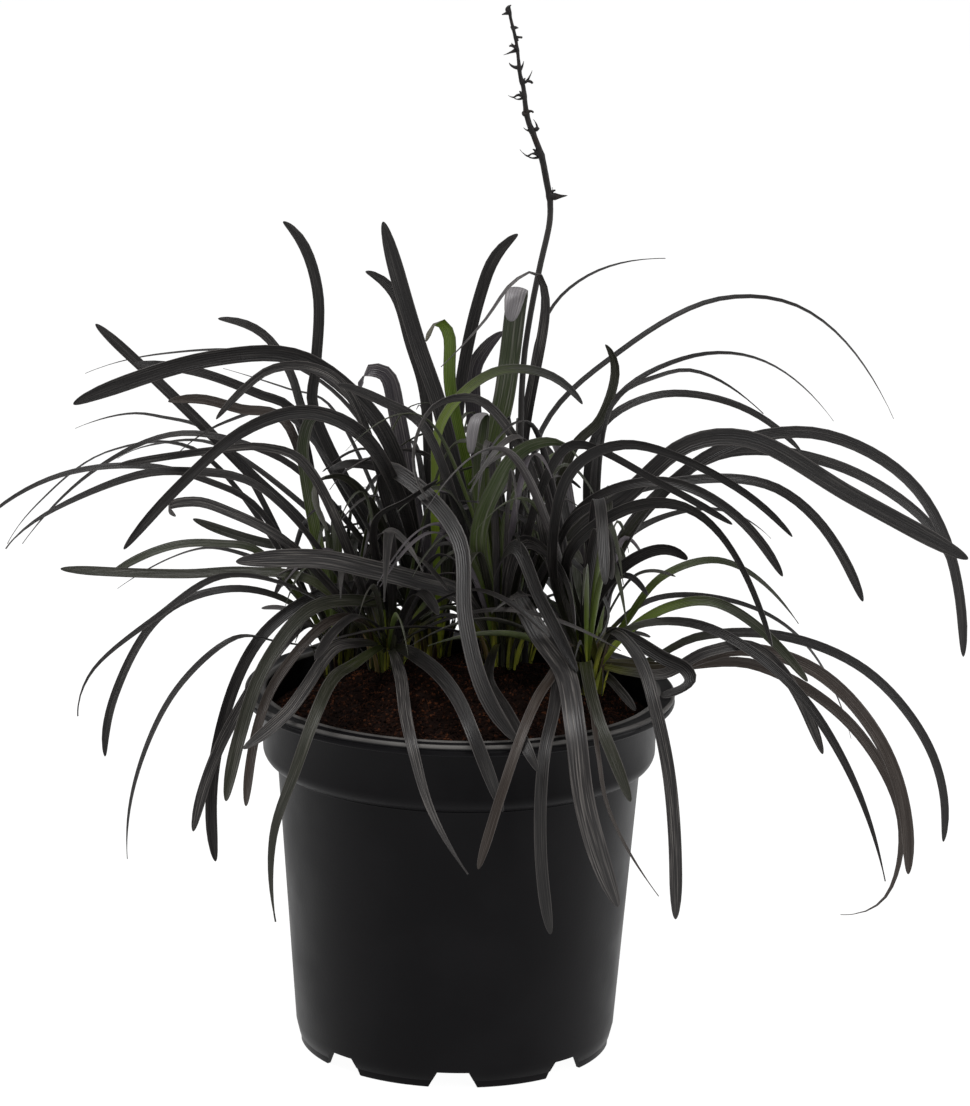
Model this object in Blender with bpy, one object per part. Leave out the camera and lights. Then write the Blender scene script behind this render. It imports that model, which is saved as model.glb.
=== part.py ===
"""Black mondo grass, Ophiopogon planiscapus, growing in a black two-litre nursery pot.

Run with: blender --background --python part.py

The origin is the centre of the pot's foot on the ground, +Z is up and -Y is the front. Lengths here are
millimetres, and MM turns them into Blender's metres where a mesh is made.

The pieces are the pot, the growing mix that fills it, seven tufts and one withered flower scape. A tuft is
a crown with all of its strap leaves, fused into one solid. The crowns and the scape stand in plain holes in
the mix. Each leaf follows a smooth line and bends clear of the other tufts, the scape, the mix and the pot.
"""

import math
import random
from collections import namedtuple

import bmesh
import bpy
import numpy as np
from mathutils.bvhtree import BVHTree

MM = 0.001
GAP = 0.3  # between neighbouring pieces

# The pot: a foot ring with notches, a tapered body, a wider collar and a rolled lip.
POT_HEIGHT = 148.2
POT_SIDES = 48
WALL = 1.2
FOOT_RADIUS = 63.0
FOOT_HEIGHT = 9.0
FOOT_STEP = 3.0  # height of the straight part of the foot ring
FOOT_WIDTH = 2.0
BODY_FOOT_RADIUS = 65.0
BODY_TOP_RADIUS = 73.2
COLLAR_RADIUS = 79.2
COLLAR_DROP = 30.5  # from the lip's top to where the collar meets the body
COLLAR_ROUND = 6.5
LIP_RADIUS = 86.6
LIP_HEIGHT = 4.5
LIP_ROUND = 1.2
FLOOR_TOP = FOOT_HEIGHT + 1.8
NOTCHES = 8
NOTCH_HEIGHT = 6.8
NOTCH_TOP_WIDTH = 12.6
NOTCH_FOOT_WIDTH = 19.6

# The growing mix.
MIX_EDGE = 135.4  # height of its surface at the wall
MIX_TOP = 153.6
MIX_RADIUS = COLLAR_RADIUS - WALL - GAP
MIX_RINGS = 7
HOLE_DEPTH = 14.0
HOLE_GAP = 0.4

# The tufts: each crown's place on the mix.
CROWNS = {
    "A": ("tuft_front_left", -30.0, 20.0),
    "B": ("tuft_front_middle", 16.0, 18.0),
    "C": ("tuft_front_right", 51.0, 8.0),
    "D": ("tuft_back_left", -50.0, 40.0),
    "E": ("tuft_back_middle", -12.0, 46.0),
    "F": ("tuft_back_centre", 22.0, 52.0),
    "G": ("tuft_back_right", 52.0, 38.0),
}
CROWN_RADIUS = 8.2
CROWN_RISE = 5.5  # above the mix
CROWN_SIDES = 12
ROOT_SPREAD = 6.4  # how far from the crown's axis its leaves grow
ROOTS = 34  # places for a leaf in each crown
ROOT_DEPTH = 1.0  # below the mix's surface, inside the crown
SHEATH_RISE = 9.0  # height over which a leaf leaves its crown upright

# The leaves.
LEAF_WIDTH = 4.0  # a leaf drawn narrower than this is seen turned towards its edge
LEAF_TURN = 0.92  # share of that turning, so that no leaf is seen right on its edge
LEAF_THICKNESS = 1.0
BASE_SHARE = 0.45  # width at the root, as a share of the widest
BASE_LENGTH = 0.35  # share of the length over which a leaf widens
BLUNT = (0.80, 0.5)  # where the tip starts to narrow, and the power that rounds it
FINE = (0.35, 0.9)
CUT = (0.92, 0.4)  # nearly square, for a leaf whose end is folded over
TIP_SHARE = 0.22
SEGMENT_LENGTH = 25.4
FEWEST_SEGMENTS, MOST_SEGMENTS = 5, 9

# Clearance between a leaf and what isn't its own tuft, and the steps by which a leaf bends clear.
LEAF_CLEAR = 0.45
GROUND_CLEAR = 0.9
BEND_STEPS = [0] + [sign * step for step in range(3, 46, 3) for sign in (-1, 1)]
BEND_LENGTH = 0.3  # share of the length over which the bend sets in
DRAWN_CROSSINGS = (1, 3, 30)  # leaves of its own tuft that a drawn leaf may cross, tried in turn
FILLER_CROSSINGS = 2

# Short leaves that fill the heart of the plant.
SEED = 5
FILLERS = 15  # in each tuft
FILLER_TRIES = 80
FILLER_REACH = (25.0, 120.0)
FILLER_RISE = (14.0, 122.0)
FILLER_ARCH = [(0.22, 0.62), (0.55, 1.0)]  # points of the arch, as shares of the reach and the rise
FILLER_TIP = (0.65, 1.0)  # height of the tip, as a share of the rise
FILLER_TIPS = (BLUNT, BLUNT, FINE)
FILLER_WIDTH = (3.4, 5.4)
FILLER_TURN = 0.5
HEART_UP = 172.0  # height of the heart's middle, as drawn from the front
HEART_HALF_WIDTH, HEART_HALF_HEIGHT = 72.0, 88.0
HEART_FOOT = 152.0  # in front of this depth, fillers leave the mix in view
HEART_FRONT = 40.0
SKIRT_HALF_WIDTH = 70.0  # leaves behind the pot stay within this, and under the next height, in the drawing
SKIRT_TOP = 158.0
SKIRT_DEPTH = 60.0
BACK_REACH = 112.0

# The scape, a flower stem that has finished.
SCAPE_PLACE = (26.0, 33.0)
SCAPE_RADIUS = 1.15
SCAPE_TIP_RADIUS = 0.6
SCAPE_SIDES = 7
SCAPE_RISES = [(25, 230), (26, 270), (29, 292), (33, 312), (36.6, 333), (36.4, 340), (33.5, 354), (28.5, 368),
               (26.6, 381), (24, 395), (21.8, 407), (20.6, 415)]
BRACT_LENGTH = 4.6
BRACT_RADIUS = 0.75
BRACT_TIP_RADIUS = 0.3
BRACT_SIDES = 4
# Each withered bract: its height on the drawing and the way it points, across and up.
BRACTS = [(339, 1.5, 0.2), (356, -1.5, 0.35), (365, 0.6, 0.8), (373, 0.9, 0.1), (380, -1.3, 0.0),
          (385, 1.0, 0.2), (391, -0.9, 0.4), (397, -1.0, -0.3), (402, 0.7, 0.1), (406, 0.6, 0.4),
          (411, -0.8, 0.1)]

# The front drawing. Leaves are laid out as they look from here: (across, up) in millimetres on a plane
# through AIM that faces the eye, with (0, 0) at the pot's foot. A leaf's depth is its y.
TILT = math.radians(13.8)
ROLL = math.radians(1.0)
EYE_DISTANCE = 1900.0
AIM = np.array([9.1, 0.0, 203.7])
AIM_DRAWN = (10.8, 196.4)
LEVEL = np.array([1.0, 0.0, 0.0])
RISING = np.array([0.0, math.sin(TILT), math.cos(TILT)])
ACROSS = math.cos(ROLL) * LEVEL + math.sin(ROLL) * RISING
UP = math.cos(ROLL) * RISING - math.sin(ROLL) * LEVEL
AHEAD = np.array([0.0, math.cos(TILT), -math.sin(TILT)])
EYE = AIM - EYE_DISTANCE * AHEAD
UPRIGHT = np.array([0.0, 0.0, 1.0])

Leaf = namedtuple("Leaf", "tuft width depth drawn tip")


def leaf(tuft, width, depth, *drawn, tip=BLUNT):
    """A leaf: its crown, its width as drawn, its tip's depth, and the drawn points from low to tip.

    A point with a third number has that depth. The depth of the others runs evenly between them.
    """
    return Leaf(tuft, width, depth, drawn, tip)


LEAVES = [
    # Leaves that fall towards the front and over the rim.
    leaf("E", 6.5, -88, (-30, 230, 10), (-13, 220, -10), (1, 200, -35), (3, 170, -58),
         (11, 140, -78), (24, 121)),
    leaf("B", 6.0, -55, (16, 190), (23, 199), (33, 178), (48, 149)),
    leaf("B", 6.0, -30, (20, 185), (27, 201), (40, 192), (47, 165)),
    leaf("A", 5.0, -102, (-23, 147, -35), (-21, 132, -70), (-18, 118, -90), (-11, 94, -99),
         (4, 68), tip=FINE),
    leaf("A", 6.0, -98, (-12, 152, -30), (0, 138, -70), (7, 122, -91), (18, 93)),
    leaf("C", 4.0, -104, (45, 160, -15), (38, 148, -45), (31, 137, -72), (24, 120, -92), (8, 70)),
    leaf("C", 4.8, -97, (42, 152, -30), (38, 132, -74), (34, 112, -94), (33, 78, -98), (37, 44)),
    leaf("B", 5.0, -94, (12, 146, -25), (20, 132, -65), (27, 119, -88), (32, 109)),
    leaf("B", 8.5, -90, (22, 180), (33, 163, -20), (43, 148, -52), (47, 126, -80), (51, 95, -93), (64, 55)),
    leaf("C", 5.0, -76, (51, 152, -22), (56, 130, -62), (62, 115, -73), (69, 97)),
    leaf("C", 1.8, -84, (53, 140, -44), (56, 115, -80), (60, 94, -85), (80, 59), tip=FINE),
    leaf("C", 5.2, -52, (62, 165), (72, 155), (79, 134, -45), (85, 103, -52), (87, 50)),
    leaf("C", 5.5, -30, (62, 164), (83, 154, -18), (91, 150, -21), (93, 145, -25), (81, 139, -29), tip=CUT),
    leaf("C", 3.5, -36, (58, 148), (65, 141, -24), (71, 133)),
    # Left side, top to bottom.
    leaf("D", 4.5, 70, (-56, 199), (-84, 229), (-117, 262), (-145, 288)),
    leaf("E", 6.8, -20, (-25, 235), (-40, 258), (-65, 275), (-100, 274), (-140, 262), (-154, 256)),
    leaf("E", 3.5, 60, (-61, 250), (-67, 268), (-75, 281), (-83, 287), (-96, 290)),
    leaf("E", 1.2, 85, (-40, 250), (-75, 275), (-118, 276), (-149, 268), tip=FINE),
    leaf("D", 3.5, 30, (-66, 253), (-80, 260), (-105, 269), (-130, 272)),
    leaf("E", 1.2, 95, (-52, 256), (-68, 262), (-94, 270), tip=FINE),
    leaf("E", 3.5, -30, (-45, 262), (-60, 271), (-75, 270), (-85, 263), (-97, 250)),
    leaf("D", 3.5, 10, (-70, 250), (-87, 254), (-103, 258), (-116, 257)),
    leaf("D", 2.0, 95, (-95, 242), (-120, 251), (-132, 252), (-153, 246), tip=FINE),
    leaf("E", 6.0, -85, (-22, 215), (-40, 245), (-62, 253), (-85, 246), (-110, 225), (-134, 198)),
    leaf("A", 4.0, -60, (-62, 233), (-78, 239), (-95, 238), (-136, 232)),
    leaf("D", 2.5, 40, (-80, 214), (-100, 225), (-125, 231), (-157, 228), (-183, 215),
         (-204, 192), tip=FINE),
    leaf("A", 3.0, -113, (-80, 223), (-110, 229), (-130, 227), (-168, 210), (-181, 198), tip=FINE),
    leaf("E", 2.5, 60, (-60, 226), (-80, 238), (-112, 244), (-143, 231), (-174, 200), tip=FINE),
    leaf("E", 2.0, 106, (-95, 239), (-120, 240), (-136, 234), tip=FINE),
    leaf("D", 1.2, 108, (-104, 237), (-140, 237), (-168, 216), (-180, 200), tip=FINE),
    leaf("E", 1.2, 20, (-70, 252), (-92, 249), (-112, 236), tip=FINE),
    leaf("A", 3.5, -70, (-68, 200), (-92, 213), (-105, 217), (-116, 215), (-113, 211)),
    leaf("D", 4.0, 60, (-66, 199), (-75, 200), (-90, 204), (-106, 210)),
    leaf("D", 3.0, 30, (-80, 197), (-95, 200), (-115, 199), (-140, 187)),
    leaf("A", 3.8, 20, (-58, 185), (-85, 189), (-110, 188), (-159, 190)),
    leaf("D", 1.2, 100, (-75, 190), (-90, 197), (-104, 198), (-136, 182), tip=FINE),
    leaf("B", 7.6, -45, (0, 180), (-15, 185), (-35, 190), (-55, 194), (-89, 193)),
    leaf("A", 1.8, -95, (-60, 180), (-94, 187), (-120, 171), (-147, 148), (-152, 131), tip=FINE),
    leaf("D", 3.0, 10, (-65, 175), (-90, 182), (-118, 172), (-137, 140), (-141, 115)),
    leaf("D", 2.3, 20, (-72, 161), (-90, 162), (-113, 141), (-129, 105), (-132, 74), tip=FINE),
    leaf("E", 4.8, -20, (-30, 182), (-52, 181), (-75, 167), (-88, 147), (-98, 108), (-97, 73)),
    leaf("D", 4.5, -5, (-60, 168), (-70, 160), (-84, 140), (-98, 113), (-106, 85)),
    leaf("E", 5.5, -50, (-20, 170), (-36, 177), (-59, 174), (-77, 152), (-87, 125), (-93, 97)),
    leaf("A", 4.0, -62, (-40, 170), (-53, 168), (-73, 145), (-80, 128), (-85, 95)),
    leaf("A", 5.0, -74, (-44, 160), (-51, 157, -28), (-62, 141, -50), (-69, 132, -60), (-86, 118)),
    leaf("A", 5.0, -62, (-43, 151, -25), (-50, 146, -42), (-57, 132, -62), (-65, 110, -72),
         (-74, 83, -68), (-73, 49), tip=FINE),
    # Upright leaves of the middle, left to right, then the arches under them.
    leaf("E", 4.5, 50, (-58, 255), (-57, 270), (-56, 300), (-62, 320), (-70, 329)),
    leaf("B", 6.5, 30, (-6, 250), (-16, 280), (-22, 300), (-30, 329)),
    leaf("E", 4.5, 75, (-13, 258), (-19, 280), (-26, 301), (-37, 309)),
    leaf("F", 5.0, 10, (-3, 262), (-4, 285), (-8, 289), (-13, 281)),
    leaf("E", 5.0, 60, (1, 262), (9, 300), (15, 315), (24, 324)),
    leaf("F", 4.5, -20, (26, 240), (35, 300), (31, 309), (22, 305), (10, 289), (-7, 271), tip=FINE),
    leaf("F", 8.5, 20, (12, 222), (19, 262), (23, 294, 42), (24, 302, 38), (23, 300, 32),
         (21, 289, 28), tip=CUT),
    leaf("F", 6.5, 60, (6, 268), (10, 277), (18, 285)),
    leaf("E", 3.8, 0, (-9, 220), (-6, 250), (15, 269), (36, 268), (50, 256)),
    leaf("C", 4.0, -30, (35, 200), (28, 232), (8, 258), (-10, 255), (-18, 235), (-12, 217)),
    leaf("B", 5.0, 0, (8, 225), (10, 247, 12), (10, 252, 8), (7, 250, 2), (5, 236, -2), tip=CUT),
    leaf("E", 7.0, 62, (-24, 250), (-29, 268), (-36, 269), (-39, 262)),
    leaf("B", 3.5, -10, (-14, 247), (-30, 257), (-48, 264)),
    leaf("D", 5.0, 10, (-61, 228), (-62, 240), (-58, 251), (-50, 250)),
    leaf("A", 4.0, -30, (-28, 200), (-46, 227), (-57, 224), (-52, 205)),
    leaf("B", 3.0, -20, (-15, 221), (-40, 232), (-52, 229)),
    leaf("A", 5.0, 20, (-28, 196), (-36, 216), (-48, 229)),
    leaf("A", 3.0, 20, (-33, 210), (-20, 218), (-8, 226)),
    leaf("B", 7.0, -35, (8, 200), (15, 223), (26, 238), (40, 241), (49, 233)),
    leaf("B", 3.0, 0, (18, 203), (24, 221), (36, 233), (46, 238)),
    # Right side, top to bottom.
    leaf("F", 2.0, 85, (33, 244), (65, 277), (105, 298), (140, 293), (174, 250), tip=FINE),
    leaf("F", 1.2, 60, (33, 285), (50, 306), (83, 314), tip=FINE),
    leaf("G", 2.3, 100, (60, 253), (90, 274), (120, 274), (150, 249), tip=FINE),
    leaf("G", 1.3, 20, (62, 256), (80, 267), (95, 269), (122, 252), tip=FINE),
    leaf("G", 3.0, 60, (55, 243), (78, 259), (110, 256), (137, 237)),
    leaf("F", 3.8, 30, (46, 238), (57, 250), (63, 270), (59, 280)),
    leaf("C", 4.5, -90, (38, 190), (46, 230), (68, 240), (108, 225), (134, 203)),
    leaf("B", 3.5, -80, (36, 228), (47, 240), (82, 224), (110, 208)),
    leaf("C", 7.0, 20, (43, 197), (68, 220), (92, 240), (116, 242), (158, 219), (204, 194)),
    leaf("G", 5.0, 75, (57, 182), (73, 211), (105, 238), (145, 244), (185, 220), (202, 155)),
    leaf("G", 4.5, 106, (60, 190), (72, 212), (105, 236), (150, 232), (188, 208), (200, 183)),
    leaf("F", 3.8, 0, (50, 211), (88, 225), (130, 221), (162, 177)),
    leaf("C", 4.8, -100, (44, 195), (74, 216), (98, 211), (126, 159)),
    leaf("F", 3.5, -20, (50, 215), (82, 225), (108, 214), (130, 187)),
    leaf("G", 2.5, 90, (65, 200), (100, 214), (125, 202), tip=FINE),
    leaf("B", 3.0, -20, (40, 200), (46, 210), (58, 217)),
    leaf("C", 5.0, -25, (52, 170), (66, 191), (82, 198), (92, 194), tip=CUT),
    leaf("G", 1.2, 60, (56, 170), (66, 196), (78, 215), tip=FINE),
    leaf("C", 2.0, -20, (60, 172), (44, 195), (20, 213), (0, 217), tip=FINE),
    leaf("G", 3.0, 45, (66, 167), (82, 187), (106, 193), (136, 168), tip=FINE),
    leaf("C", 4.0, -35, (58, 153), (67, 164), (85, 175), (105, 176), (140, 145)),
    leaf("G", 1.8, 60, (76, 177), (110, 177), (137, 162), (157, 122), tip=FINE),
    leaf("C", 4.0, -95, (68, 166), (95, 168), (130, 147), (155, 112), (171, 65), tip=FINE),
    leaf("G", 4.0, 80, (72, 152, 42), (96, 163), (131, 163), (165, 148), (190, 115), (194, 81)),
    leaf("C", 4.5, -20, (68, 149, 4), (82, 148, 0), (100, 157), (120, 158), (146, 116)),
    leaf("C", 5.5, 20, (68, 151, 10), (83, 150, 8), (113, 158), (145, 148), (172, 115), (180, 68)),
    leaf("C", 4.5, 50, (68, 153, 16), (84, 151, 15), (118, 152), (157, 128), (177, 90), (170, 58),
         (153, 52), tip=FINE),
]


# ---------------------------------------------------------------- geometry of lines


def unit(vector):
    return vector / np.linalg.norm(vector)


def sight(across, up, depth):
    """The point at this depth on the line of sight through a point of the front drawing."""
    on_plane = AIM + (across - AIM_DRAWN[0]) * ACROSS + (up - AIM_DRAWN[1]) * UP
    share = (depth - EYE[1]) / (on_plane[1] - EYE[1])
    return EYE + share * (on_plane - EYE)


def drawn_at(points):
    """Where points in space appear on the front drawing, as rows of (across, up)."""
    from_eye = np.atleast_2d(points) - EYE
    scale = EYE_DISTANCE / (from_eye @ AHEAD)
    return np.column_stack([from_eye @ ACROSS * scale + AIM_DRAWN[0], from_eye @ UP * scale + AIM_DRAWN[1]])


def smooth_line(points, samples=14):
    """A dense smooth line through the points: cubic spans between centripetal knots."""
    points = np.asarray(points, float)
    knots = np.concatenate([[0], np.cumsum(np.linalg.norm(np.diff(points, axis=0), axis=1) ** 0.5)])
    slopes = np.gradient(points, knots, axis=0, edge_order=2)
    line = []
    for i, span in enumerate(np.diff(knots)):
        for u in np.arange(samples) / samples:
            line.append(
                (1 + 2 * u) * (1 - u) ** 2 * points[i]
                + u * (1 - u) ** 2 * span * slopes[i]
                + u * u * (3 - 2 * u) * points[i + 1]
                + u * u * (u - 1) * span * slopes[i + 1]
            )
    return np.array(line + [points[-1]])


def spread(line, shares):
    """Points at the given shares of a line's length."""
    lengths = np.concatenate([[0], np.cumsum(np.linalg.norm(np.diff(line, axis=0), axis=1))])
    return np.column_stack([np.interp(shares * lengths[-1], lengths, line[:, k]) for k in range(3)])


def length_of(line):
    return np.linalg.norm(np.diff(line, axis=0), axis=1).sum()


def smoothstep(value):
    value = np.clip(value, 0, 1)
    return value * value * (3 - 2 * value)


# ---------------------------------------------------------------- meshes


def clear_scene():
    for old in list(bpy.data.objects):
        bpy.data.objects.remove(old)


def material(name, colour, roughness):
    made = bpy.data.materials.new(name)
    made.use_nodes = True
    surface = made.node_tree.nodes["Principled BSDF"]
    surface.inputs["Base Color"].default_value = (*colour, 1)
    surface.inputs["Roughness"].default_value = roughness
    surface.inputs["Metallic"].default_value = 0
    return made


def new_object(name, build, look=None):
    """An object whose mesh is built in millimetres by build(bmesh)."""
    shape = bmesh.new()
    build(shape)
    bmesh.ops.scale(shape, vec=(MM, MM, MM), verts=shape.verts)
    mesh = bpy.data.meshes.new(name)
    shape.to_mesh(mesh)
    shape.free()
    made = bpy.data.objects.new(name, mesh)
    bpy.context.scene.collection.objects.link(made)
    if look:
        mesh.materials.append(look)
    return made


def turn(shape, profile, sides):
    """Turns a profile of (radius, height), which starts and ends on the axis, into a closed body."""
    points = [shape.verts.new((radius, 0, height)) for radius, height in profile]
    edges = [shape.edges.new(pair) for pair in zip(points, points[1:])]
    bmesh.ops.spin(shape, geom=points + edges, cent=(0, 0, 0), axis=(0, 0, 1), angle=math.tau, steps=sides)
    bmesh.ops.remove_doubles(shape, verts=shape.verts, dist=1e-3)
    bmesh.ops.recalc_face_normals(shape, faces=shape.faces)


def fused(target, helpers, operation):
    """Applies one Boolean of a collection of helpers to the target, and removes the helpers.

    Thin leaves that cross take the EXACT solver minutes, so a union uses MANIFOLD.
    """
    group = bpy.data.collections.new(target.name + "_helpers")
    bpy.context.scene.collection.children.link(group)
    for helper in helpers:
        bpy.context.scene.collection.objects.unlink(helper)
        group.objects.link(helper)
    boolean = target.modifiers.new("fuse", "BOOLEAN")
    boolean.operation = operation
    boolean.operand_type = "COLLECTION"
    boolean.collection = group
    boolean.solver = "MANIFOLD" if operation == "UNION" else "EXACT"
    graph = bpy.context.evaluated_depsgraph_get()
    mesh = bpy.data.meshes.new_from_object(target.evaluated_get(graph))
    target.modifiers.clear()
    target.data = mesh
    for helper in helpers:
        bpy.data.objects.remove(helper)
    bpy.data.collections.remove(group)


def keep_outer_skin(target):
    """Keeps the largest shell: fills any hollow that fusing sealed, and drops loose scraps."""
    shape = bmesh.new()
    shape.from_mesh(target.data)
    unseen, shells = set(shape.faces), []
    while unseen:
        shell, waiting = set(), [unseen.pop()]
        while waiting:
            face = waiting.pop()
            shell.add(face)
            joined = {other for edge in face.edges for other in edge.link_faces} & unseen
            unseen -= joined
            waiting.extend(joined)
        shells.append(shell)
    shells.sort(key=len)
    for shell in shells[:-1]:
        bmesh.ops.delete(shape, geom=list(shell), context="FACES")
    shape.to_mesh(target.data)
    shape.free()


# ---------------------------------------------------------------- the pot


def collar_corner(inset, steps=3):
    """The collar's rounded lower corner, from the body outwards and up, this far inside its outer face."""
    across, up = COLLAR_RADIUS - COLLAR_ROUND, POT_HEIGHT - COLLAR_DROP + COLLAR_ROUND
    radius = COLLAR_ROUND - inset
    angles = [math.pi / 2 * (step / steps - 1) for step in range(steps + 1)]
    return [(across + radius * math.cos(angle), up + radius * math.sin(angle)) for angle in angles]


def pot_profile():
    """Half of the pot's section: under the floor, up the outside, over the lip and down the inside."""
    collar_foot = POT_HEIGHT - COLLAR_DROP
    lip_foot = POT_HEIGHT - LIP_HEIGHT
    outside = [
        (0, FOOT_HEIGHT),
        (FOOT_RADIUS - FOOT_WIDTH, FOOT_HEIGHT),
        (FOOT_RADIUS - FOOT_WIDTH, 0),
        (FOOT_RADIUS, 0),
        (FOOT_RADIUS + 0.3, FOOT_STEP),
        (BODY_FOOT_RADIUS, FOOT_HEIGHT),
        (BODY_TOP_RADIUS, collar_foot - 0.6),
        *collar_corner(0),
        (COLLAR_RADIUS, lip_foot),
    ]
    lip = [
        (LIP_RADIUS - LIP_ROUND, lip_foot),
        (LIP_RADIUS, lip_foot + LIP_ROUND),
        (LIP_RADIUS, POT_HEIGHT - LIP_ROUND),
        (LIP_RADIUS - LIP_ROUND, POT_HEIGHT),
        (COLLAR_RADIUS + 0.4, POT_HEIGHT),
        (COLLAR_RADIUS - WALL, POT_HEIGHT - LIP_ROUND),
    ]
    inside = [
        *reversed(collar_corner(WALL)),
        (BODY_TOP_RADIUS - WALL, collar_foot - 0.6),
        (BODY_FOOT_RADIUS - WALL + 0.3, FLOOR_TOP),
        (0, FLOOR_TOP),
    ]
    return outside + lip + inside


def notch_cutter(turned):
    """A block through the foot ring that cuts one notch, wider at the ground."""
    near, far, drop = FOOT_RADIUS - 8, FOOT_RADIUS + 8, 2.0
    flare = (NOTCH_FOOT_WIDTH - NOTCH_TOP_WIDTH) / NOTCH_HEIGHT
    section = [
        (-NOTCH_FOOT_WIDTH / 2 - flare * drop / 2, -drop),
        (NOTCH_FOOT_WIDTH / 2 + flare * drop / 2, -drop),
        (NOTCH_TOP_WIDTH / 2, NOTCH_HEIGHT),
        (-NOTCH_TOP_WIDTH / 2, NOTCH_HEIGHT),
    ]

    def build(shape):
        face = shape.faces.new([shape.verts.new((near, across, height)) for across, height in section])
        pulled = bmesh.ops.extrude_face_region(shape, geom=[face])["geom"]
        moved = [item for item in pulled if isinstance(item, bmesh.types.BMVert)]
        bmesh.ops.translate(shape, vec=(far - near, 0, 0), verts=moved)
        bmesh.ops.recalc_face_normals(shape, faces=shape.faces)

    cutter = new_object("notch_cutter", build)
    cutter.rotation_euler.z = turned
    return cutter


def make_pot():
    look = material("pot_plastic", (0.035, 0.036, 0.038), 0.5)
    pot = new_object("pot", lambda shape: turn(shape, pot_profile(), POT_SIDES), look)
    cutters = [notch_cutter(math.tau * k / NOTCHES) for k in range(NOTCHES)]
    fused(pot, cutters, "DIFFERENCE")
    pot.data.shade_smooth()
    pot.data.set_sharp_from_angle(angle=math.radians(35))
    return pot


# ---------------------------------------------------------------- the growing mix


def mix_height(x, y):
    """Height of the mix's surface: a low mound with lumps that die out at the wall."""
    mound = 1 - (np.hypot(x, y) / MIX_RADIUS) ** 2
    lumps = 0.9 * np.sin(x / 5.3 + 1.0) * np.cos(y / 6.1) + 0.7 * np.sin(x / 2.9 - y / 3.7)
    return MIX_EDGE + (MIX_TOP - MIX_EDGE) * mound + lumps * np.clip(3 * mound, 0, 1)


def mix_build(shape):
    """A lumpy surface of rings over a solid that follows the pot's inside."""
    collar_foot = POT_HEIGHT - COLLAR_DROP
    angles = [math.tau * k / POT_SIDES for k in range(POT_SIDES)]

    def ring(radius, height=None):
        around = [(radius * math.cos(angle), radius * math.sin(angle)) for angle in angles]
        return [shape.verts.new((x, y, mix_height(x, y) if height is None else height)) for x, y in around]

    top = shape.verts.new((0, 0, mix_height(0, 0)))
    rings = [ring(MIX_RADIUS * k / MIX_RINGS) for k in range(1, MIX_RINGS + 1)]
    rings += [
        ring(MIX_RADIUS, collar_foot + COLLAR_ROUND + GAP),
        ring(BODY_TOP_RADIUS - WALL - GAP, collar_foot + GAP),
        ring(BODY_FOOT_RADIUS - WALL, FLOOR_TOP + GAP),
    ]
    for k in range(POT_SIDES):
        after = (k + 1) % POT_SIDES
        shape.faces.new((top, rings[0][k], rings[0][after]))
        for upper, lower in zip(rings, rings[1:]):
            shape.faces.new((upper[k], lower[k], lower[after], upper[after]))
    shape.faces.new(rings[-1])
    bmesh.ops.recalc_face_normals(shape, faces=shape.faces)


def hole_cutter(x, y, radius, sides):
    """A plain upright cylinder from the bottom of a hole to well above the mix."""
    floor = mix_height(x, y) - HOLE_DEPTH - GAP
    depth = 4 * HOLE_DEPTH

    def build(shape):
        size = {"radius1": radius, "radius2": radius, "depth": depth}
        bmesh.ops.create_cone(shape, cap_ends=True, segments=sides, **size)
        bmesh.ops.translate(shape, vec=(x, y, floor + depth / 2), verts=shape.verts)

    return new_object("hole_cutter", build)


def make_mix():
    look = material("growing_mix", (0.055, 0.03, 0.02), 0.95)
    mix = new_object("growing_mix", mix_build, look)
    holes = [hole_cutter(x, y, CROWN_RADIUS + HOLE_GAP, CROWN_SIDES) for _, x, y in CROWNS.values()]
    holes.append(hole_cutter(*SCAPE_PLACE, SCAPE_RADIUS + HOLE_GAP, SCAPE_SIDES))
    fused(mix, holes, "DIFFERENCE")
    return mix


# ---------------------------------------------------------------- one leaf


def width_along(share, width, tip):
    """Leaf width at a share of its length: narrow at the root, widest past the middle, round at the tip."""
    start, power = tip
    base = BASE_SHARE + (1 - BASE_SHARE) * smoothstep(share / BASE_LENGTH)
    past = np.clip((share - start) / (1 - start), 0, 1)
    return width * np.maximum(base * (1 - past**2) ** power, TIP_SHARE)


def leaf_frames(path, faces, turned):
    """Unit vectors across the leaf at each point of its path.

    A leaf starts upright, and they are carried along its path without spinning. Halfway along, its upper
    side faces the given way, then turned about the path by an angle, to whichever hand lifts that side.
    """
    along = np.gradient(path, axis=0)
    along /= np.linalg.norm(along, axis=1)[:, None]
    across = [unit(np.cross(along[0], [0.0, 1.0, 0.0]))]
    for direction in along[1:]:
        across.append(unit(across[-1] - direction * (across[-1] @ direction)))
    across = np.array(across)
    middle = len(path) // 2
    wanted = unit(np.cross(along[middle], faces))
    binormal = np.cross(along[middle], across[middle])
    angle = math.atan2(wanted @ binormal, wanted @ across[middle])
    lifts = [np.cross(spin(wanted, along[middle], sign * turned), along[middle])[2] for sign in (1, -1)]
    angle += turned if lifts[0] >= lifts[1] else -turned
    return along, np.array([spin(side, direction, angle) for side, direction in zip(across, along)])


def spin(vector, axis, angle):
    """A vector at right angles to the axis, turned about it."""
    return vector * math.cos(angle) + np.cross(axis, vector) * math.sin(angle)


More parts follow.
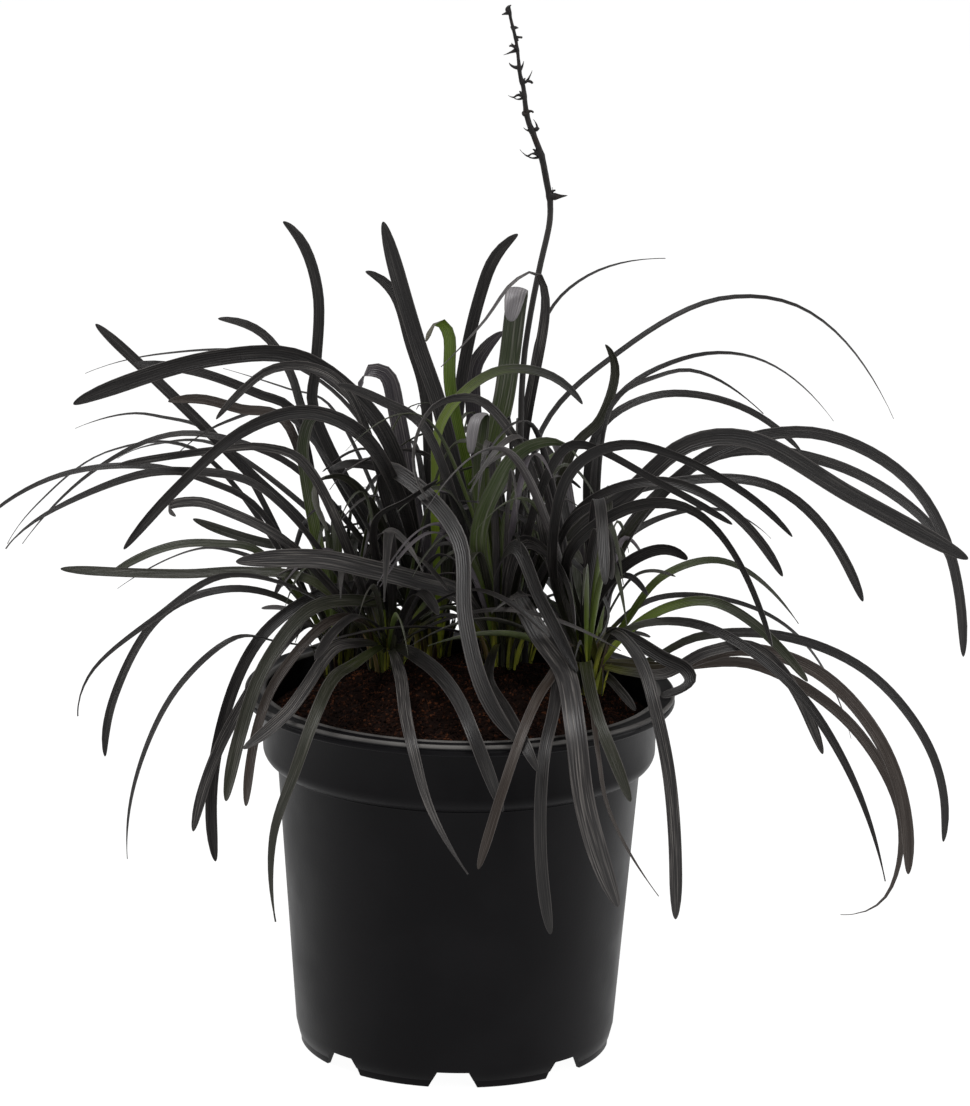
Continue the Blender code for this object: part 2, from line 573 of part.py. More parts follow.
def leaf_rings(line, width, tip, faces, turned, fatter=0.0):
    """The leaf's three-sided section at each ring: two edges and the keel under them."""
    length = length_of(line)
    segments = int(np.clip(round(length / SEGMENT_LENGTH), FEWEST_SEGMENTS, MOST_SEGMENTS))
    shares = np.concatenate([[0], np.linspace((SHEATH_RISE + ROOT_DEPTH) / length, 1, segments)])
    path = spread(line, shares)
    along, across = leaf_frames(path, faces, turned)
    upper = np.cross(across, along)
    half = (width_along(shares, width, tip) + fatter)[:, None] / 2
    thick = LEAF_THICKNESS + fatter
    edges = path + upper * thick / 3
    return np.stack([edges - across * half, edges + across * half, path - upper * thick * 2 / 3], axis=1)


def ring_faces(count):
    """Triangles between rings of three points, facing out, with both ends closed."""
    faces = [(0, 2, 1), (3 * count - 3, 3 * count - 2, 3 * count - 1)]
    for ring in range(count - 1):
        for k in range(3):
            a, b = 3 * ring + k, 3 * ring + (k + 1) % 3
            faces += [(a, b + 3, a + 3), (a, b, b + 3)]
    return faces


def tree_of(rings):
    return BVHTree.FromPolygons(rings.reshape(-1, 3).tolist(), ring_faces(len(rings)))


# ---------------------------------------------------------------- planting


class Planting:
    """The leaves that are already placed, which the next one keeps clear of."""

    def __init__(self, obstacles):
        self.placed = list(obstacles)  # (tuft, lowest corner, highest corner, tree)
        self.leaves = {tuft: [] for tuft in CROWNS}
        self.roots = {tuft: root_places(tuft) for tuft in CROWNS}

    def take_root(self, tuft, heading):
        """The free place in the crown that is nearest to the side where the leaf goes."""
        _, crown_x, crown_y = CROWNS[tuft]
        side = np.array([crown_x, crown_y]) + ROOT_SPREAD * 0.8 * heading
        places = self.roots[tuft]
        return places[int(np.argmin([np.linalg.norm(place - side) for place in places]))]

    def is_clear(self, tuft, shape, crossings):
        """Whether a leaf clears all but its own tuft, and crosses at most so many leaves of that."""
        real, fat = leaf_rings(*shape), leaf_rings(*shape, fatter=2 * LEAF_CLEAR)
        if reaches_ground(real, tuft):
            return False
        (low, high), tree, fat_tree = box_of(fat), tree_of(real), tree_of(fat)
        for owner, its_low, its_high, its_tree in self.placed:
            if (low > its_high).any() or (high < its_low).any():
                continue
            if owner != tuft and fat_tree.overlap(its_tree):
                return False
            if owner == tuft and tree.overlap(its_tree):
                crossings -= 1
        return crossings >= 0

    def add(self, tuft, shape, place):
        rings = leaf_rings(*shape)
        self.placed.append((tuft, *box_of(rings), tree_of(rings)))
        self.leaves[tuft].append(shape)
        self.roots[tuft] = [other for other in self.roots[tuft] if other is not place]


def box_of(rings):
    return rings.reshape(-1, 3).min(axis=0), rings.reshape(-1, 3).max(axis=0)


def reaches_ground(rings, tuft):
    """Whether a leaf comes too near the pot or the mix, away from its own crown."""
    steps = np.linspace(0, 1, 7)[:, None, None, None]
    points = (rings[:-1] * (1 - steps) + rings[1:] * steps).reshape(-1, 3)
    x, y, z = points.T
    radius = np.hypot(x, y)
    _, crown_x, crown_y = CROWNS[tuft]
    outside_crown = np.hypot(x - crown_x, y - crown_y) > CROWN_RADIUS - 0.6
    over_mix = radius < COLLAR_RADIUS - WALL - GROUND_CLEAR
    floor = np.where(over_mix, mix_height(x, y) + GROUND_CLEAR, POT_HEIGHT + GROUND_CLEAR)
    return bool((outside_crown & (radius < LIP_RADIUS + GROUND_CLEAR) & (z < floor)).any())


def root_places(tuft):
    """Places for leaves over a crown, set out like the seeds of a sunflower."""
    _, crown_x, crown_y = CROWNS[tuft]
    golden = math.pi * (3 - math.sqrt(5))
    places = []
    for k in range(ROOTS):
        out = ROOT_SPREAD * math.sqrt((k + 0.5) / ROOTS)
        places.append(np.array([crown_x + out * math.cos(golden * k), crown_y + out * math.sin(golden * k)]))
    return places


def root_points(tuft, place):
    """The first two points of a leaf: its root in the crown, and where it leaves the crown."""
    ground = mix_height(*CROWNS[tuft][1:])
    return np.array([*place, ground - ROOT_DEPTH]), np.array([*place, ground + SHEATH_RISE])


def drawn_line(plan, root, sheath, bend):
    """The smooth line of a drawn leaf, bent by this much along the lines of sight."""
    seen = np.vstack([drawn_at(sheath), [point[:2] for point in plan.drawn]])
    shares = np.concatenate([[0], np.cumsum(np.linalg.norm(np.diff(seen, axis=0), axis=1))])
    shares /= shares[-1]
    known = [(0, sheath[1])]
    known += [(share, point[2]) for share, point in zip(shares[1:], plan.drawn) if len(point) > 2]
    if len(plan.drawn[-1]) == 2:
        known.append((1, plan.depth))
    depths = np.interp(shares, *zip(*known)) + bend * smoothstep(shares / BEND_LENGTH)
    points = [sight(*place, depth) for place, depth in zip(seen[1:], depths[1:])]
    return smooth_line([root, sheath, *points])


def plant_drawn(planting, plan):
    """Places a drawn leaf at the first bend that is clear. It returns False if none is."""
    middle = plan.drawn[len(plan.drawn) // 2]
    heading = unit(sight(middle[0], middle[1], plan.depth)[:2] - CROWNS[plan.tuft][1:])
    place = planting.take_root(plan.tuft, heading)
    root, sheath = root_points(plan.tuft, place)
    true_width = max(plan.width, LEAF_WIDTH)
    turned = math.acos(plan.width / true_width) * LEAF_TURN
    for crossings in DRAWN_CROSSINGS:
        for bend in BEND_STEPS:
            line = drawn_line(plan, root, sheath, bend)
            shape = (line, true_width, plan.tip, -AHEAD, turned)
            if planting.is_clear(plan.tuft, shape, crossings):
                planting.add(plan.tuft, shape, place)
                return True
    return False


def in_heart(line):
    """Whether a line stays in the plant's heart, or behind the pot, as drawn from the front."""
    across, up = drawn_at(line).T
    depth = line[:, 1]
    heart = (across / HEART_HALF_WIDTH) ** 2 + ((up - HEART_UP) / HEART_HALF_HEIGHT) ** 2 < 1
    skirt = (np.abs(across) < SKIRT_HALF_WIDTH) & (up < SKIRT_TOP) & (depth > SKIRT_DEPTH)
    past_root = np.arange(len(line)) > len(line) // 3
    low = (up < HEART_FOOT) & (depth < HEART_FRONT) & past_root
    return bool(((heart & ~low) | skirt).all()) and depth.max() < BACK_REACH


def filler_line(draw, planting, tuft):
    """A leaf that rises from its crown and arches over, in a drawn direction, and the place of its root."""
    heading = draw.uniform(0, math.tau)
    reach = draw.uniform(*FILLER_REACH)
    rise = draw.uniform(*FILLER_RISE)
    out = np.array([math.cos(heading), math.sin(heading), 0])
    place = planting.take_root(tuft, out[:2])
    root, sheath = root_points(tuft, place)
    arch = [sheath + out * away * reach + UPRIGHT * up * rise for away, up in FILLER_ARCH]
    tip = sheath + out * reach + UPRIGHT * rise * draw.uniform(*FILLER_TIP)
    return smooth_line([root, sheath, *arch, tip]), place


def plant_fillers(planting, draw):
    for _ in range(FILLERS):
        for tuft in CROWNS:
            for _ in range(FILLER_TRIES):
                line, place = filler_line(draw, planting, tuft)
                width, tip = draw.uniform(*FILLER_WIDTH), draw.choice(FILLER_TIPS)
                shape = (line, width, tip, UPRIGHT, draw.uniform(0, FILLER_TURN))
                if in_heart(line) and planting.is_clear(tuft, shape, FILLER_CROSSINGS):
                    planting.add(tuft, shape, place)
                    break


# ---------------------------------------------------------------- the tufts


def crown_profile(ground):
    return [
        (0, ground - HOLE_DEPTH),
        (CROWN_RADIUS, ground - HOLE_DEPTH),
        (CROWN_RADIUS, ground + 1.0),
        (CROWN_RADIUS * 0.8, ground + CROWN_RISE * 0.7),
        (CROWN_RADIUS * 0.4, ground + CROWN_RISE),
        (0, ground + CROWN_RISE + 0.3),
    ]


def crown_build(x, y):
    def build(shape):
        turn(shape, crown_profile(mix_height(x, y)), CROWN_SIDES)
        bmesh.ops.translate(shape, vec=(x, y, 0), verts=shape.verts)

    return build


def leaf_build(rings):
    def build(shape):
        points = [shape.verts.new(point) for point in rings.reshape(-1, 3)]
        for face in ring_faces(len(rings)):
            shape.faces.new([points[k] for k in face])

    return build


def make_tuft(tuft, leaves, look):
    name, x, y = CROWNS[tuft]
    made = new_object(name, crown_build(x, y), look)
    blades = [new_object("leaf", leaf_build(leaf_rings(*shape))) for shape in leaves]
    fused(made, blades, "UNION")
    keep_outer_skin(made)
    made.data.materials.clear()
    made.data.materials.append(look)
    return made


# ---------------------------------------------------------------- the scape


def scape_line():
    x, y = SCAPE_PLACE
    ground = mix_height(x, y)
    stem = [np.array([x, y, ground - HOLE_DEPTH]), np.array([x, y, ground + 12])]
    return smooth_line(stem + [sight(across, up, y) for across, up in SCAPE_RISES], samples=2)


def tube(shape, line, radii, sides):
    """A closed tube along a line, with a radius for each of its points."""
    along = np.gradient(line, axis=0)
    across = unit(np.cross(along[0], [0.1, 1, 0.2]))
    angles = [math.tau * k / sides for k in range(sides)]
    loops = []
    for point, direction, radius in zip(line, along, radii):
        direction = unit(direction)
        across = unit(across - direction * (across @ direction))
        other = np.cross(direction, across)
        rim = [across * math.cos(angle) + other * math.sin(angle) for angle in angles]
        loops.append([shape.verts.new(point + radius * way) for way in rim])
    for lower, upper in zip(loops, loops[1:]):
        for k in range(sides):
            after = (k + 1) % sides
            shape.faces.new((lower[k], lower[after], upper[after], upper[k]))
    shape.faces.new(loops[0][::-1])
    shape.faces.new(loops[-1])
    bmesh.ops.recalc_face_normals(shape, faces=shape.faces)


def bract_build(line, up, across_way, up_way):
    """A withered bract: a short spike that starts inside the stem."""
    heights = drawn_at(line)[:, 1]
    seat = line[int(np.argmin(np.abs(heights - up)))]
    way = across_way * ACROSS + up_way * UP
    tip = seat + way * BRACT_LENGTH
    return lambda shape: tube(shape, np.array([seat, tip]), [BRACT_RADIUS, BRACT_TIP_RADIUS], BRACT_SIDES)


def make_scape():
    line = scape_line()
    radii = np.linspace(SCAPE_RADIUS, SCAPE_TIP_RADIUS, len(line))
    look = material("withered_stem", (0.05, 0.045, 0.045), 0.7)
    scape = new_object("flower_scape", lambda shape: tube(shape, line, radii, SCAPE_SIDES), look)
    bracts = [new_object("bract", bract_build(line, *bract)) for bract in BRACTS]
    fused(scape, bracts, "UNION")
    keep_outer_skin(scape)
    scape.data.materials.clear()
    scape.data.materials.append(look)
    return scape


def obstacle(owner, line, radius):
    """What leaves keep clear of: a three-sided upright prism round a line, and the tuft that owns it."""
    angles = [math.tau * k / 3 for k in range(3)]
    corners = [radius * np.array([math.cos(angle), math.sin(angle), 0]) for angle in angles]
    rings = np.array([[point + corner for corner in corners] for point in line])
    return owner, *box_of(rings), tree_of(rings)


def crown_obstacle(tuft):
    _, x, y = CROWNS[tuft]
    ground = mix_height(x, y)
    return obstacle(tuft, np.array([[x, y, ground], [x, y, ground + CROWN_RISE + GAP]]), 1.3 * CROWN_RADIUS)


def plant_leaves():
    """Places every leaf, and returns the shapes of each tuft's leaves."""
    obstacles = [obstacle(None, scape_line(), 2 * SCAPE_RADIUS)] + [crown_obstacle(tuft) for tuft in CROWNS]
    planting = Planting(obstacles)
    for plan in LEAVES:
        if not plant_drawn(planting, plan):
            print("no clear place for the leaf that ends at", plan.drawn[-1])
    plant_fillers(planting, random.Random(SEED))
    return planting.leaves


def main():
    clear_scene()
    make_pot()
    make_mix()
    make_scape()
    look = material("black_leaf", (0.03, 0.032, 0.03), 0.45)
    for tuft, leaves in plant_leaves().items():
        make_tuft(tuft, leaves, look)


main()
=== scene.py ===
# %% [markdown]
# # Black mondo grass in its nursery pot
# The plant is a clump of seven tufts in a two-litre pot of black plastic, filled with coir. Each tuft is a
# crown with a fan of strap leaves, green where they leave the crown and almost black for the rest of their
# length. One withered flower stem stands among them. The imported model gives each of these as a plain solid
# with few faces. This lesson makes the fine surface of each one in the same place.

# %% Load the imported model
import math
import random
from collections import namedtuple

import bmesh
import bpy
import numpy as np
from mathutils import Matrix, Vector, noise
from mathutils.bvhtree import BVHTree


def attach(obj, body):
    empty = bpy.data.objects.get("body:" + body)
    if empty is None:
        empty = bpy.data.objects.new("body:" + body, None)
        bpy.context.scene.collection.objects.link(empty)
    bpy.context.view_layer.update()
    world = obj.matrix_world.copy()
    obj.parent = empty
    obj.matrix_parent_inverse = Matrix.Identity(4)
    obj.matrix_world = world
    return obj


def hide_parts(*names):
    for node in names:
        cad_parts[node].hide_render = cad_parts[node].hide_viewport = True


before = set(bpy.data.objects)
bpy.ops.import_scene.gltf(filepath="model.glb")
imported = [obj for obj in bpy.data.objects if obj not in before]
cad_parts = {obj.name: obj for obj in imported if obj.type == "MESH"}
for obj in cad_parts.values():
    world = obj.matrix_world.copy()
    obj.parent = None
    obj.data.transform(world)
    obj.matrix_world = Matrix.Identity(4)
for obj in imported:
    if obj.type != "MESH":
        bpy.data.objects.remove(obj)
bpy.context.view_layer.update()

# %% [markdown]
# ## The front drawing
# A plant is hard to describe leaf by leaf in space, but easy to draw. So the leaves are laid out on a
# drawing as they look from the front, a little from above. The drawing is a plane of millimetres that
# faces the eye, with its zero near the pot's foot. The same numbers place the camera, so what is drawn at
# a place is seen there. Lengths stay in millimetres until a mesh is made, and MM turns them into metres.

# %% The eye and the drawing
MM = 0.001
TILT = math.radians(13.8)  # how far the eye looks down
ROLL = math.radians(1.0)  # how far it leans to one side
EYE_DISTANCE = 1900.0
AIM = np.array([9.1, 0.0, 203.7])  # the point that the eye looks at
AIM_DRAWN = (10.8, 196.4)  # where that point is on the drawing
LEVEL = np.array([1.0, 0.0, 0.0])
RISING = np.array([0.0, math.sin(TILT), math.cos(TILT)])
ACROSS = math.cos(ROLL) * LEVEL + math.sin(ROLL) * RISING
UP = math.cos(ROLL) * RISING - math.sin(ROLL) * LEVEL
AHEAD = np.array([0.0, math.cos(TILT), -math.sin(TILT)])
EYE = AIM - EYE_DISTANCE * AHEAD
UPRIGHT = np.array([0.0, 0.0, 1.0])
print("the eye is at", EYE.round(), "mm")


def unit(vector):
    return vector / np.linalg.norm(vector)


def sight(across, up, depth):
    """The point at this depth on the line of sight through a point of the front drawing."""
    on_plane = AIM + (across - AIM_DRAWN[0]) * ACROSS + (up - AIM_DRAWN[1]) * UP
    share = (depth - EYE[1]) / (on_plane[1] - EYE[1])
    return EYE + share * (on_plane - EYE)


def drawn_at(points):
    """Where points in space appear on the front drawing, as rows of (across, up)."""
    from_eye = np.atleast_2d(points) - EYE
    scale = EYE_DISTANCE / (from_eye @ AHEAD)
    return np.column_stack([from_eye @ ACROSS * scale + AIM_DRAWN[0], from_eye @ UP * scale + AIM_DRAWN[1]])


# %% The camera
DRAWING_HEIGHT = 442.4  # of the drawing that the camera sees
scene = bpy.context.scene
camera = bpy.data.objects.new("camera", bpy.data.cameras.new("camera"))
scene.collection.objects.link(camera)
scene.camera = camera
scene.view_settings.view_transform = "Standard"
camera.data.sensor_width = 36.0
camera.data.lens = camera.data.sensor_width * EYE_DISTANCE / DRAWING_HEIGHT
camera.data.clip_end = 100.0
turned = Matrix((ACROSS, UP, -AHEAD)).transposed()
camera.matrix_world = Matrix.Translation(Vector(EYE) * MM) @ turned.to_4x4()
print("lens", round(camera.data.lens, 1), "mm")

# %% [markdown]
# ## Small helpers for node trees
# Materials and Geometry Nodes are both trees of nodes. One short function adds a node, sets it up and links
# it, so that each tree below reads from top to bottom like a recipe. A Geometry Nodes tree gets named inputs
# for its sizes. The modifier that runs it takes them by each socket's identifier, because names can change.


# %% Node helpers
def add(tree, kind, inputs=None, **settings):
    """Adds a node. An input takes a value, or an output of another node, which is linked to it."""
    made = tree.nodes.new(kind)
    for name, value in settings.items():
        setattr(made, name, value)
    for socket, value in (inputs or {}).items():
        if isinstance(value, bpy.types.NodeSocket):
            tree.links.new(value, made.inputs[socket])
        else:
            made.inputs[socket].default_value = value
    return made


def maths(tree, operation, *values):
    return add(tree, "ShaderNodeMath", dict(enumerate(values)), operation=operation).outputs[0]


def vector_maths(tree, operation, *values):
    sockets = dict(enumerate(values))
    if operation == "SCALE":
        sockets["Scale"] = sockets.pop(1)
    return add(tree, "ShaderNodeVectorMath", sockets, operation=operation).outputs[0]


def remap(tree, value, low, high, to_low=0.0, to_high=1.0):
    """Turns a value between low and high into one between two others, with soft ends."""
    sockets = {"Value": value, "From Min": low, "From Max": high, "To Min": to_low, "To Max": to_high}
    return add(tree, "ShaderNodeMapRange", sockets, interpolation_type="SMOOTHSTEP").outputs["Result"]


def read(tree, name, output="Fac"):
    """Reads a named attribute of the mesh in a material."""
    return add(tree, "ShaderNodeAttribute", attribute_name=name).outputs[output]


def blend_colour(tree, share, first, second, mode="MIX"):
    made = add(tree, "ShaderNodeMix", {0: share, 6: first, 7: second}, data_type="RGBA", blend_type=mode)
    return made.outputs[2]


# %% Material helpers
def noise_at(tree, place, scale, detail):
    """Soft noise at a place. The scale is the number of its lumps in a unit of length."""
    return add(tree, "ShaderNodeTexNoise", {"Vector": place, "Scale": scale, "Detail": detail}).outputs[0]


def new_material(name, roughness, specular):
    made = bpy.data.materials.new(name)
    made.use_nodes = True
    tree = made.node_tree
    surface = tree.nodes["Principled BSDF"]
    surface.inputs["Roughness"].default_value = roughness
    surface.inputs["Specular IOR Level"].default_value = specular
    return made, tree, surface


def bump(tree, surface, height, strength, distance):
    """Gives a surface small relief from a height. The distance is in metres."""
    sockets = {"Height": height, "Strength": strength, "Distance": distance}
    tree.links.new(add(tree, "ShaderNodeBump", sockets).outputs[0], surface.inputs["Normal"])


def colour(red, green, blue):
    """A colour given as it looks on a screen, 0 to 255, as the linear numbers that a shader takes."""
    shares = [channel / 255 for channel in (red, green, blue)]
    return (*[s / 12.92 if s <= 0.04045 else ((s + 0.055) / 1.055) ** 2.4 for s in shares], 1.0)


# %% Geometry tree helpers
def geometry_tree(name, inputs):
    """A new Geometry Nodes tree with a mesh going in, named number inputs and a mesh coming out."""
    tree = bpy.data.node_groups.new(name, "GeometryNodeTree")
    tree.interface.new_socket("Geometry", in_out="INPUT", socket_type="NodeSocketGeometry")
    for label, value in inputs.items():
        kind = "NodeSocketInt" if isinstance(value, int) else "NodeSocketFloat"
        tree.interface.new_socket(label, in_out="INPUT", socket_type=kind).default_value = value
    tree.interface.new_socket("Geometry", in_out="OUTPUT", socket_type="NodeSocketGeometry")
    return tree, add(tree, "NodeGroupInput").outputs


def named(tree, name, kind="FLOAT"):
    """Reads a named attribute in a Geometry Nodes tree."""
    return add(tree, "GeometryNodeInputNamedAttribute", {"Name": name}, data_type=kind).outputs["Attribute"]


def store(tree, geometry, name, value, kind="FLOAT"):
    sockets = {"Geometry": geometry, "Name": name, "Value": value}
    return add(tree, "GeometryNodeStoreNamedAttribute", sockets, data_type=kind, domain="POINT").outputs[0]


def circle(tree, sides, radius):
    return add(tree, "GeometryNodeCurvePrimitiveCircle", {"Resolution": sides, "Radius": radius}).outputs[0]


def turning_circle(tree, name, sides, radius):
    """A circle that stores the angle of each of its points."""
    share = add(tree, "GeometryNodeSplineParameter").outputs["Factor"]
    return store(tree, circle(tree, sides, radius), name, maths(tree, "MULTIPLY", share, -math.tau))


def swept(tree, lines, section, **settings):
    """A skin along every line, closed at both ends."""
    sweep = {"Curve": lines, "Profile Curve": section, "Fill Caps": True, **settings}
    return add(tree, "GeometryNodeCurveToMesh", sweep).outputs[0]


def finish_tree(tree, geometry, material):
    """Ends a tree: copies become real, the surface is smooth and the material is set."""
    real = add(tree, "GeometryNodeRealizeInstances", {"Geometry": geometry}).outputs[0]
    smooth = add(tree, "GeometryNodeSetShadeSmooth", {"Geometry": real}).outputs[0]
    done = add(tree, "GeometryNodeSetMaterial", {"Geometry": smooth, "Material": material}).outputs[0]
    add(tree, "NodeGroupOutput", {0: done})


# %% From a tree to a plain piece
def grown(name, mesh, tree, inputs):
    """Runs a tree on a mesh and keeps the result as a plain object with no modifier."""
    seed = bpy.data.objects.new(name + "_seed", mesh)
    scene.collection.objects.link(seed)
    modifier = seed.modifiers.new("grow", "NODES")
    modifier.node_group = tree
    for item in tree.interface.items_tree:
        if item.item_type == "SOCKET" and item.name in inputs:
            modifier[item.identifier] = inputs[item.name]
    graph = bpy.context.evaluated_depsgraph_get()
    result = bpy.data.meshes.new_from_object(seed.evaluated_get(graph))
    bpy.data.objects.remove(seed)
    return placed(name, result)


def placed(name, mesh):
    mesh.name = name
    made = bpy.data.objects.new(name, mesh)
    scene.collection.objects.link(made)
    print(name, "has", sum(len(face.vertices) - 2 for face in mesh.polygons), "triangles")
    return made


def belongs(piece, slot, *nodes):
    """Every piece of a plant that nobody moves rides on the one body, and stands for its solids."""
    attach(piece, "root")
    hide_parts(*nodes)


# %% [markdown]
# ## Floor and light
# Black leaves show their shape only by what they reflect. Large soft lights do that: one strong sheet of
# light above, one at each side that draws the pale bands down the pot, and two more from the front. The
# floor glows nearly white. It lights the undersides of the leaves, and hides the plant's shadow.

# %% Floor
FLOOR_GLOW = 0.97
FLOOR_SIZE = 60.0  # metres, so that its edge is out of sight
FLOOR_DROP = 0.0002  # metres below the pot's foot
floor_material, _, floor_surface = new_material("pale_floor", 0.9, 0.0)
floor_surface.inputs["Base Color"].default_value = (0.1, 0.1, 0.1, 1)
floor_surface.inputs["Emission Color"].default_value = (1, 1, 1, 1)
floor_surface.inputs["Emission Strength"].default_value = FLOOR_GLOW
bpy.ops.mesh.primitive_plane_add(size=FLOOR_SIZE, location=(0, 0, -FLOOR_DROP))
floor = bpy.context.object
floor.name = "floor"
floor.data.materials.append(floor_material)
print("the floor is", FLOOR_SIZE, "m wide")

# %% Lights
SKY = 0.3
LIT_POINT = Vector((0, 0, 0.2))  # the middle of the plant
LIGHTS = {  # place and width in metres, and power in watts
    "light_above": ((-0.5, -0.3, 1.8), 0.9, 30),
    "light_left": ((-1.8, 0.5, 0.7), 0.9, 8),
    "light_front": ((0.7, -1.5, 1.3), 0.5, 8),
    "light_right": ((1.8, 0.3, 0.8), 0.9, 10),
    "light_side": ((1.5, -0.95, 0.6), 0.8, 5),
}
world = bpy.data.worlds.new("studio")
scene.world = world
world.use_nodes = True
world.node_tree.nodes["Background"].inputs["Color"].default_value = (1, 1, 1, 1)
world.node_tree.nodes["Background"].inputs["Strength"].default_value = SKY

for name, (place, width, power) in LIGHTS.items():
    sheet = bpy.data.lights.new(name, "AREA")
    sheet.size = width
    sheet.energy = power
    light = bpy.data.objects.new(name, sheet)
    scene.collection.objects.link(light)
    light.location = place
    light.rotation_euler = (LIT_POINT - Vector(place)).to_track_quat("-Z", "Y").to_euler()
print(len(LIGHTS), "lights give", sum(power for _, _, power in LIGHTS.values()), "W")

# %% [markdown]
# ## The pot
# A nursery pot is one thin moulding: a foot ring with notches for the water, a tapered body, a wider collar
# and a flat lip. All but the notches has the same section all the way round, so it is turned like a
# pot on a wheel. A Geometry Nodes tree sweeps the section round a circle and cuts the notches with copies
# of one wedge.

# %% Sizes of the pot
POT_HEIGHT = 148.2
WALL = 1.2
FOOT_RADIUS = 63.0
FOOT_HEIGHT = 9.0
FOOT_STEP = 3.0
FOOT_WIDTH = 2.0
FOOT_ROUND = 0.6
BODY_FOOT_RADIUS = 65.0
BODY_TOP_RADIUS = 73.2
COLLAR_RADIUS = 79.2
COLLAR_DROP = 30.5
COLLAR_ROUND = 6.5
LIP_RADIUS = 86.6
LIP_HEIGHT = 4.5
LIP_ROUND = 0.7
RIM_ROUND = 1.2
RIM_WIDTH = 3.0
RIM_DIP = 0.35
MOUTH_WIDTH = 1.2
MOUTH_ROUND = 1.5
FLOOR_THICKNESS = 1.8
FLOOR_TOP = FOOT_HEIGHT + FLOOR_THICKNESS
print("the pot is", 2 * LIP_RADIUS, "mm across and", POT_HEIGHT, "mm tall")


# %% Half of its section
# Small steps where one part of the wall meets the next, as (out, up) from the corner between them.
FOOT_EASE = [(0.1, -0.2), (0.5, 0.2), (1.2, 3.0)]
BODY_FOOT_EASE = [(-0.15, -0.3)]
BODY_TOP_EASE = [(-0.05, -1.2), (0.3, -0.3)]
COLLAR_EASE = [(0.0, -0.5), (0.4, 0.0)]
LIP_GROOVE = [(-0.15, 2.1), (-0.45, 2.4), (-0.15, 2.7)]
INSIDE_EASE = [(-WALL, -0.6)]
FLOOR_EASE = [(-WALL + 0.3, 0.0)]


def arc(across, up, radius, start, end, steps):
    """Points of a round corner, from one angle to another in degrees."""
    angles = np.radians(np.linspace(start, end, steps + 1))
    return [(across + radius * math.cos(a), up + radius * math.sin(a)) for a in angles]


def stepped(radius, height, steps):
    """Points a small step out and up from a corner of the section."""
    return [(radius + out, height + up) for out, up in steps]


def pot_section():
    """Half of the pot's section, (radius, height): out under the floor, up, over the lip and down inside."""
    collar_foot = POT_HEIGHT - COLLAR_DROP
    lip_foot = POT_HEIGHT - LIP_HEIGHT
    inner_foot = FOOT_RADIUS - FOOT_WIDTH
    rim_top = POT_HEIGHT - RIM_DIP
    corner = (COLLAR_RADIUS - COLLAR_ROUND, collar_foot + COLLAR_ROUND)
    outside = [(0, FOOT_HEIGHT), (inner_foot, FOOT_HEIGHT), (inner_foot, 0)]
    outside += arc(FOOT_RADIUS - FOOT_ROUND, FOOT_ROUND, FOOT_ROUND, -90, 0, 3)
    outside += stepped(FOOT_RADIUS, FOOT_STEP, FOOT_EASE)
    outside += stepped(BODY_FOOT_RADIUS, FOOT_HEIGHT, BODY_FOOT_EASE)
    outside += stepped(BODY_TOP_RADIUS, collar_foot, BODY_TOP_EASE)
    outside += arc(*corner, COLLAR_ROUND, -85, 0, 8)
    outside += stepped(COLLAR_RADIUS, lip_foot, COLLAR_EASE)
    lip = arc(LIP_RADIUS - LIP_ROUND, lip_foot + LIP_ROUND, LIP_ROUND, -90, 0, 4)
    lip += stepped(LIP_RADIUS, lip_foot, LIP_GROOVE)
    lip += arc(LIP_RADIUS - RIM_ROUND, POT_HEIGHT - RIM_ROUND, RIM_ROUND, 0, 90, 6)
    lip += [(LIP_RADIUS - RIM_WIDTH, rim_top), (COLLAR_RADIUS + MOUTH_WIDTH, rim_top)]
    lip += arc(COLLAR_RADIUS - WALL + MOUTH_ROUND, POT_HEIGHT - MOUTH_ROUND, MOUTH_ROUND, 90, 180, 5)
    inside = arc(*corner, COLLAR_ROUND - WALL, 0, -85, 8)
    inside += stepped(BODY_TOP_RADIUS, collar_foot, INSIDE_EASE)
    inside += stepped(BODY_FOOT_RADIUS, FLOOR_TOP, FLOOR_EASE)
    return outside + lip + inside + [(0, FLOOR_TOP)]


section = np.array(pot_section())
print("its section has", len(section), "points")


# %% Lines as a mesh
def path_mesh(name, chains, **attributes):
    """A mesh of bare lines in metres. Each attribute gives one number or vector for every point."""
    mesh = bpy.data.meshes.new(name)
    starts = np.cumsum([0] + [len(chain) for chain in chains])
    edges = [(a, a + 1) for start, end in zip(starts, starts[1:]) for a in range(start, end - 1)]
    mesh.from_pydata((np.concatenate(chains) * MM).tolist(), edges, [])
    for key, values in attributes.items():
        flat = np.concatenate(values).astype(np.float32)
        if flat.ndim == 1:
            mesh.attributes.new(key, "FLOAT", "POINT").data.foreach_set("value", flat)
        else:
            mesh.attributes.new(key, "FLOAT_VECTOR", "POINT").data.foreach_set("vector", flat.ravel())
    return mesh


# %% [markdown]
# ## The pot's plastic
# The pot is pressed from recycled plastic. It is black and satin, with a fine grain and a few rubbed patches,
# and the edges of its lip carry a painted highlight, thin pale lines. Noise on Object coordinates gives the
# grain and the patches, and three distances, from the lip's edge, the collar and the top, find where the
# painted highlight goes.

# %% The pot's plastic
LIP_HIGHLIGHT = (1.3, 0.7)  # the painted highlight starts and is full this far inside the lip's edge,
COLLAR_HIGHLIGHT = (2.0, 1.2)  # this far outside the collar,
TOP_HIGHLIGHT = (1.6, 0.9)  # and this far under the top
# Black, the rubbed patches, and the pale of the painted highlight on the lip's edges.
POT_BLACK, POT_RUBBED, POT_EDGE_HIGHLIGHT = (7, 6, 8), (14, 13, 15), (92, 90, 88)


def distance_out(tree, spot):
    """How far a point is from the middle line, from its X, Y and Z."""
    square = maths(tree, "MULTIPLY", spot[0], spot[0])
    return maths(tree, "SQRT", maths(tree, "MULTIPLY_ADD", spot[1], spot[1], square))


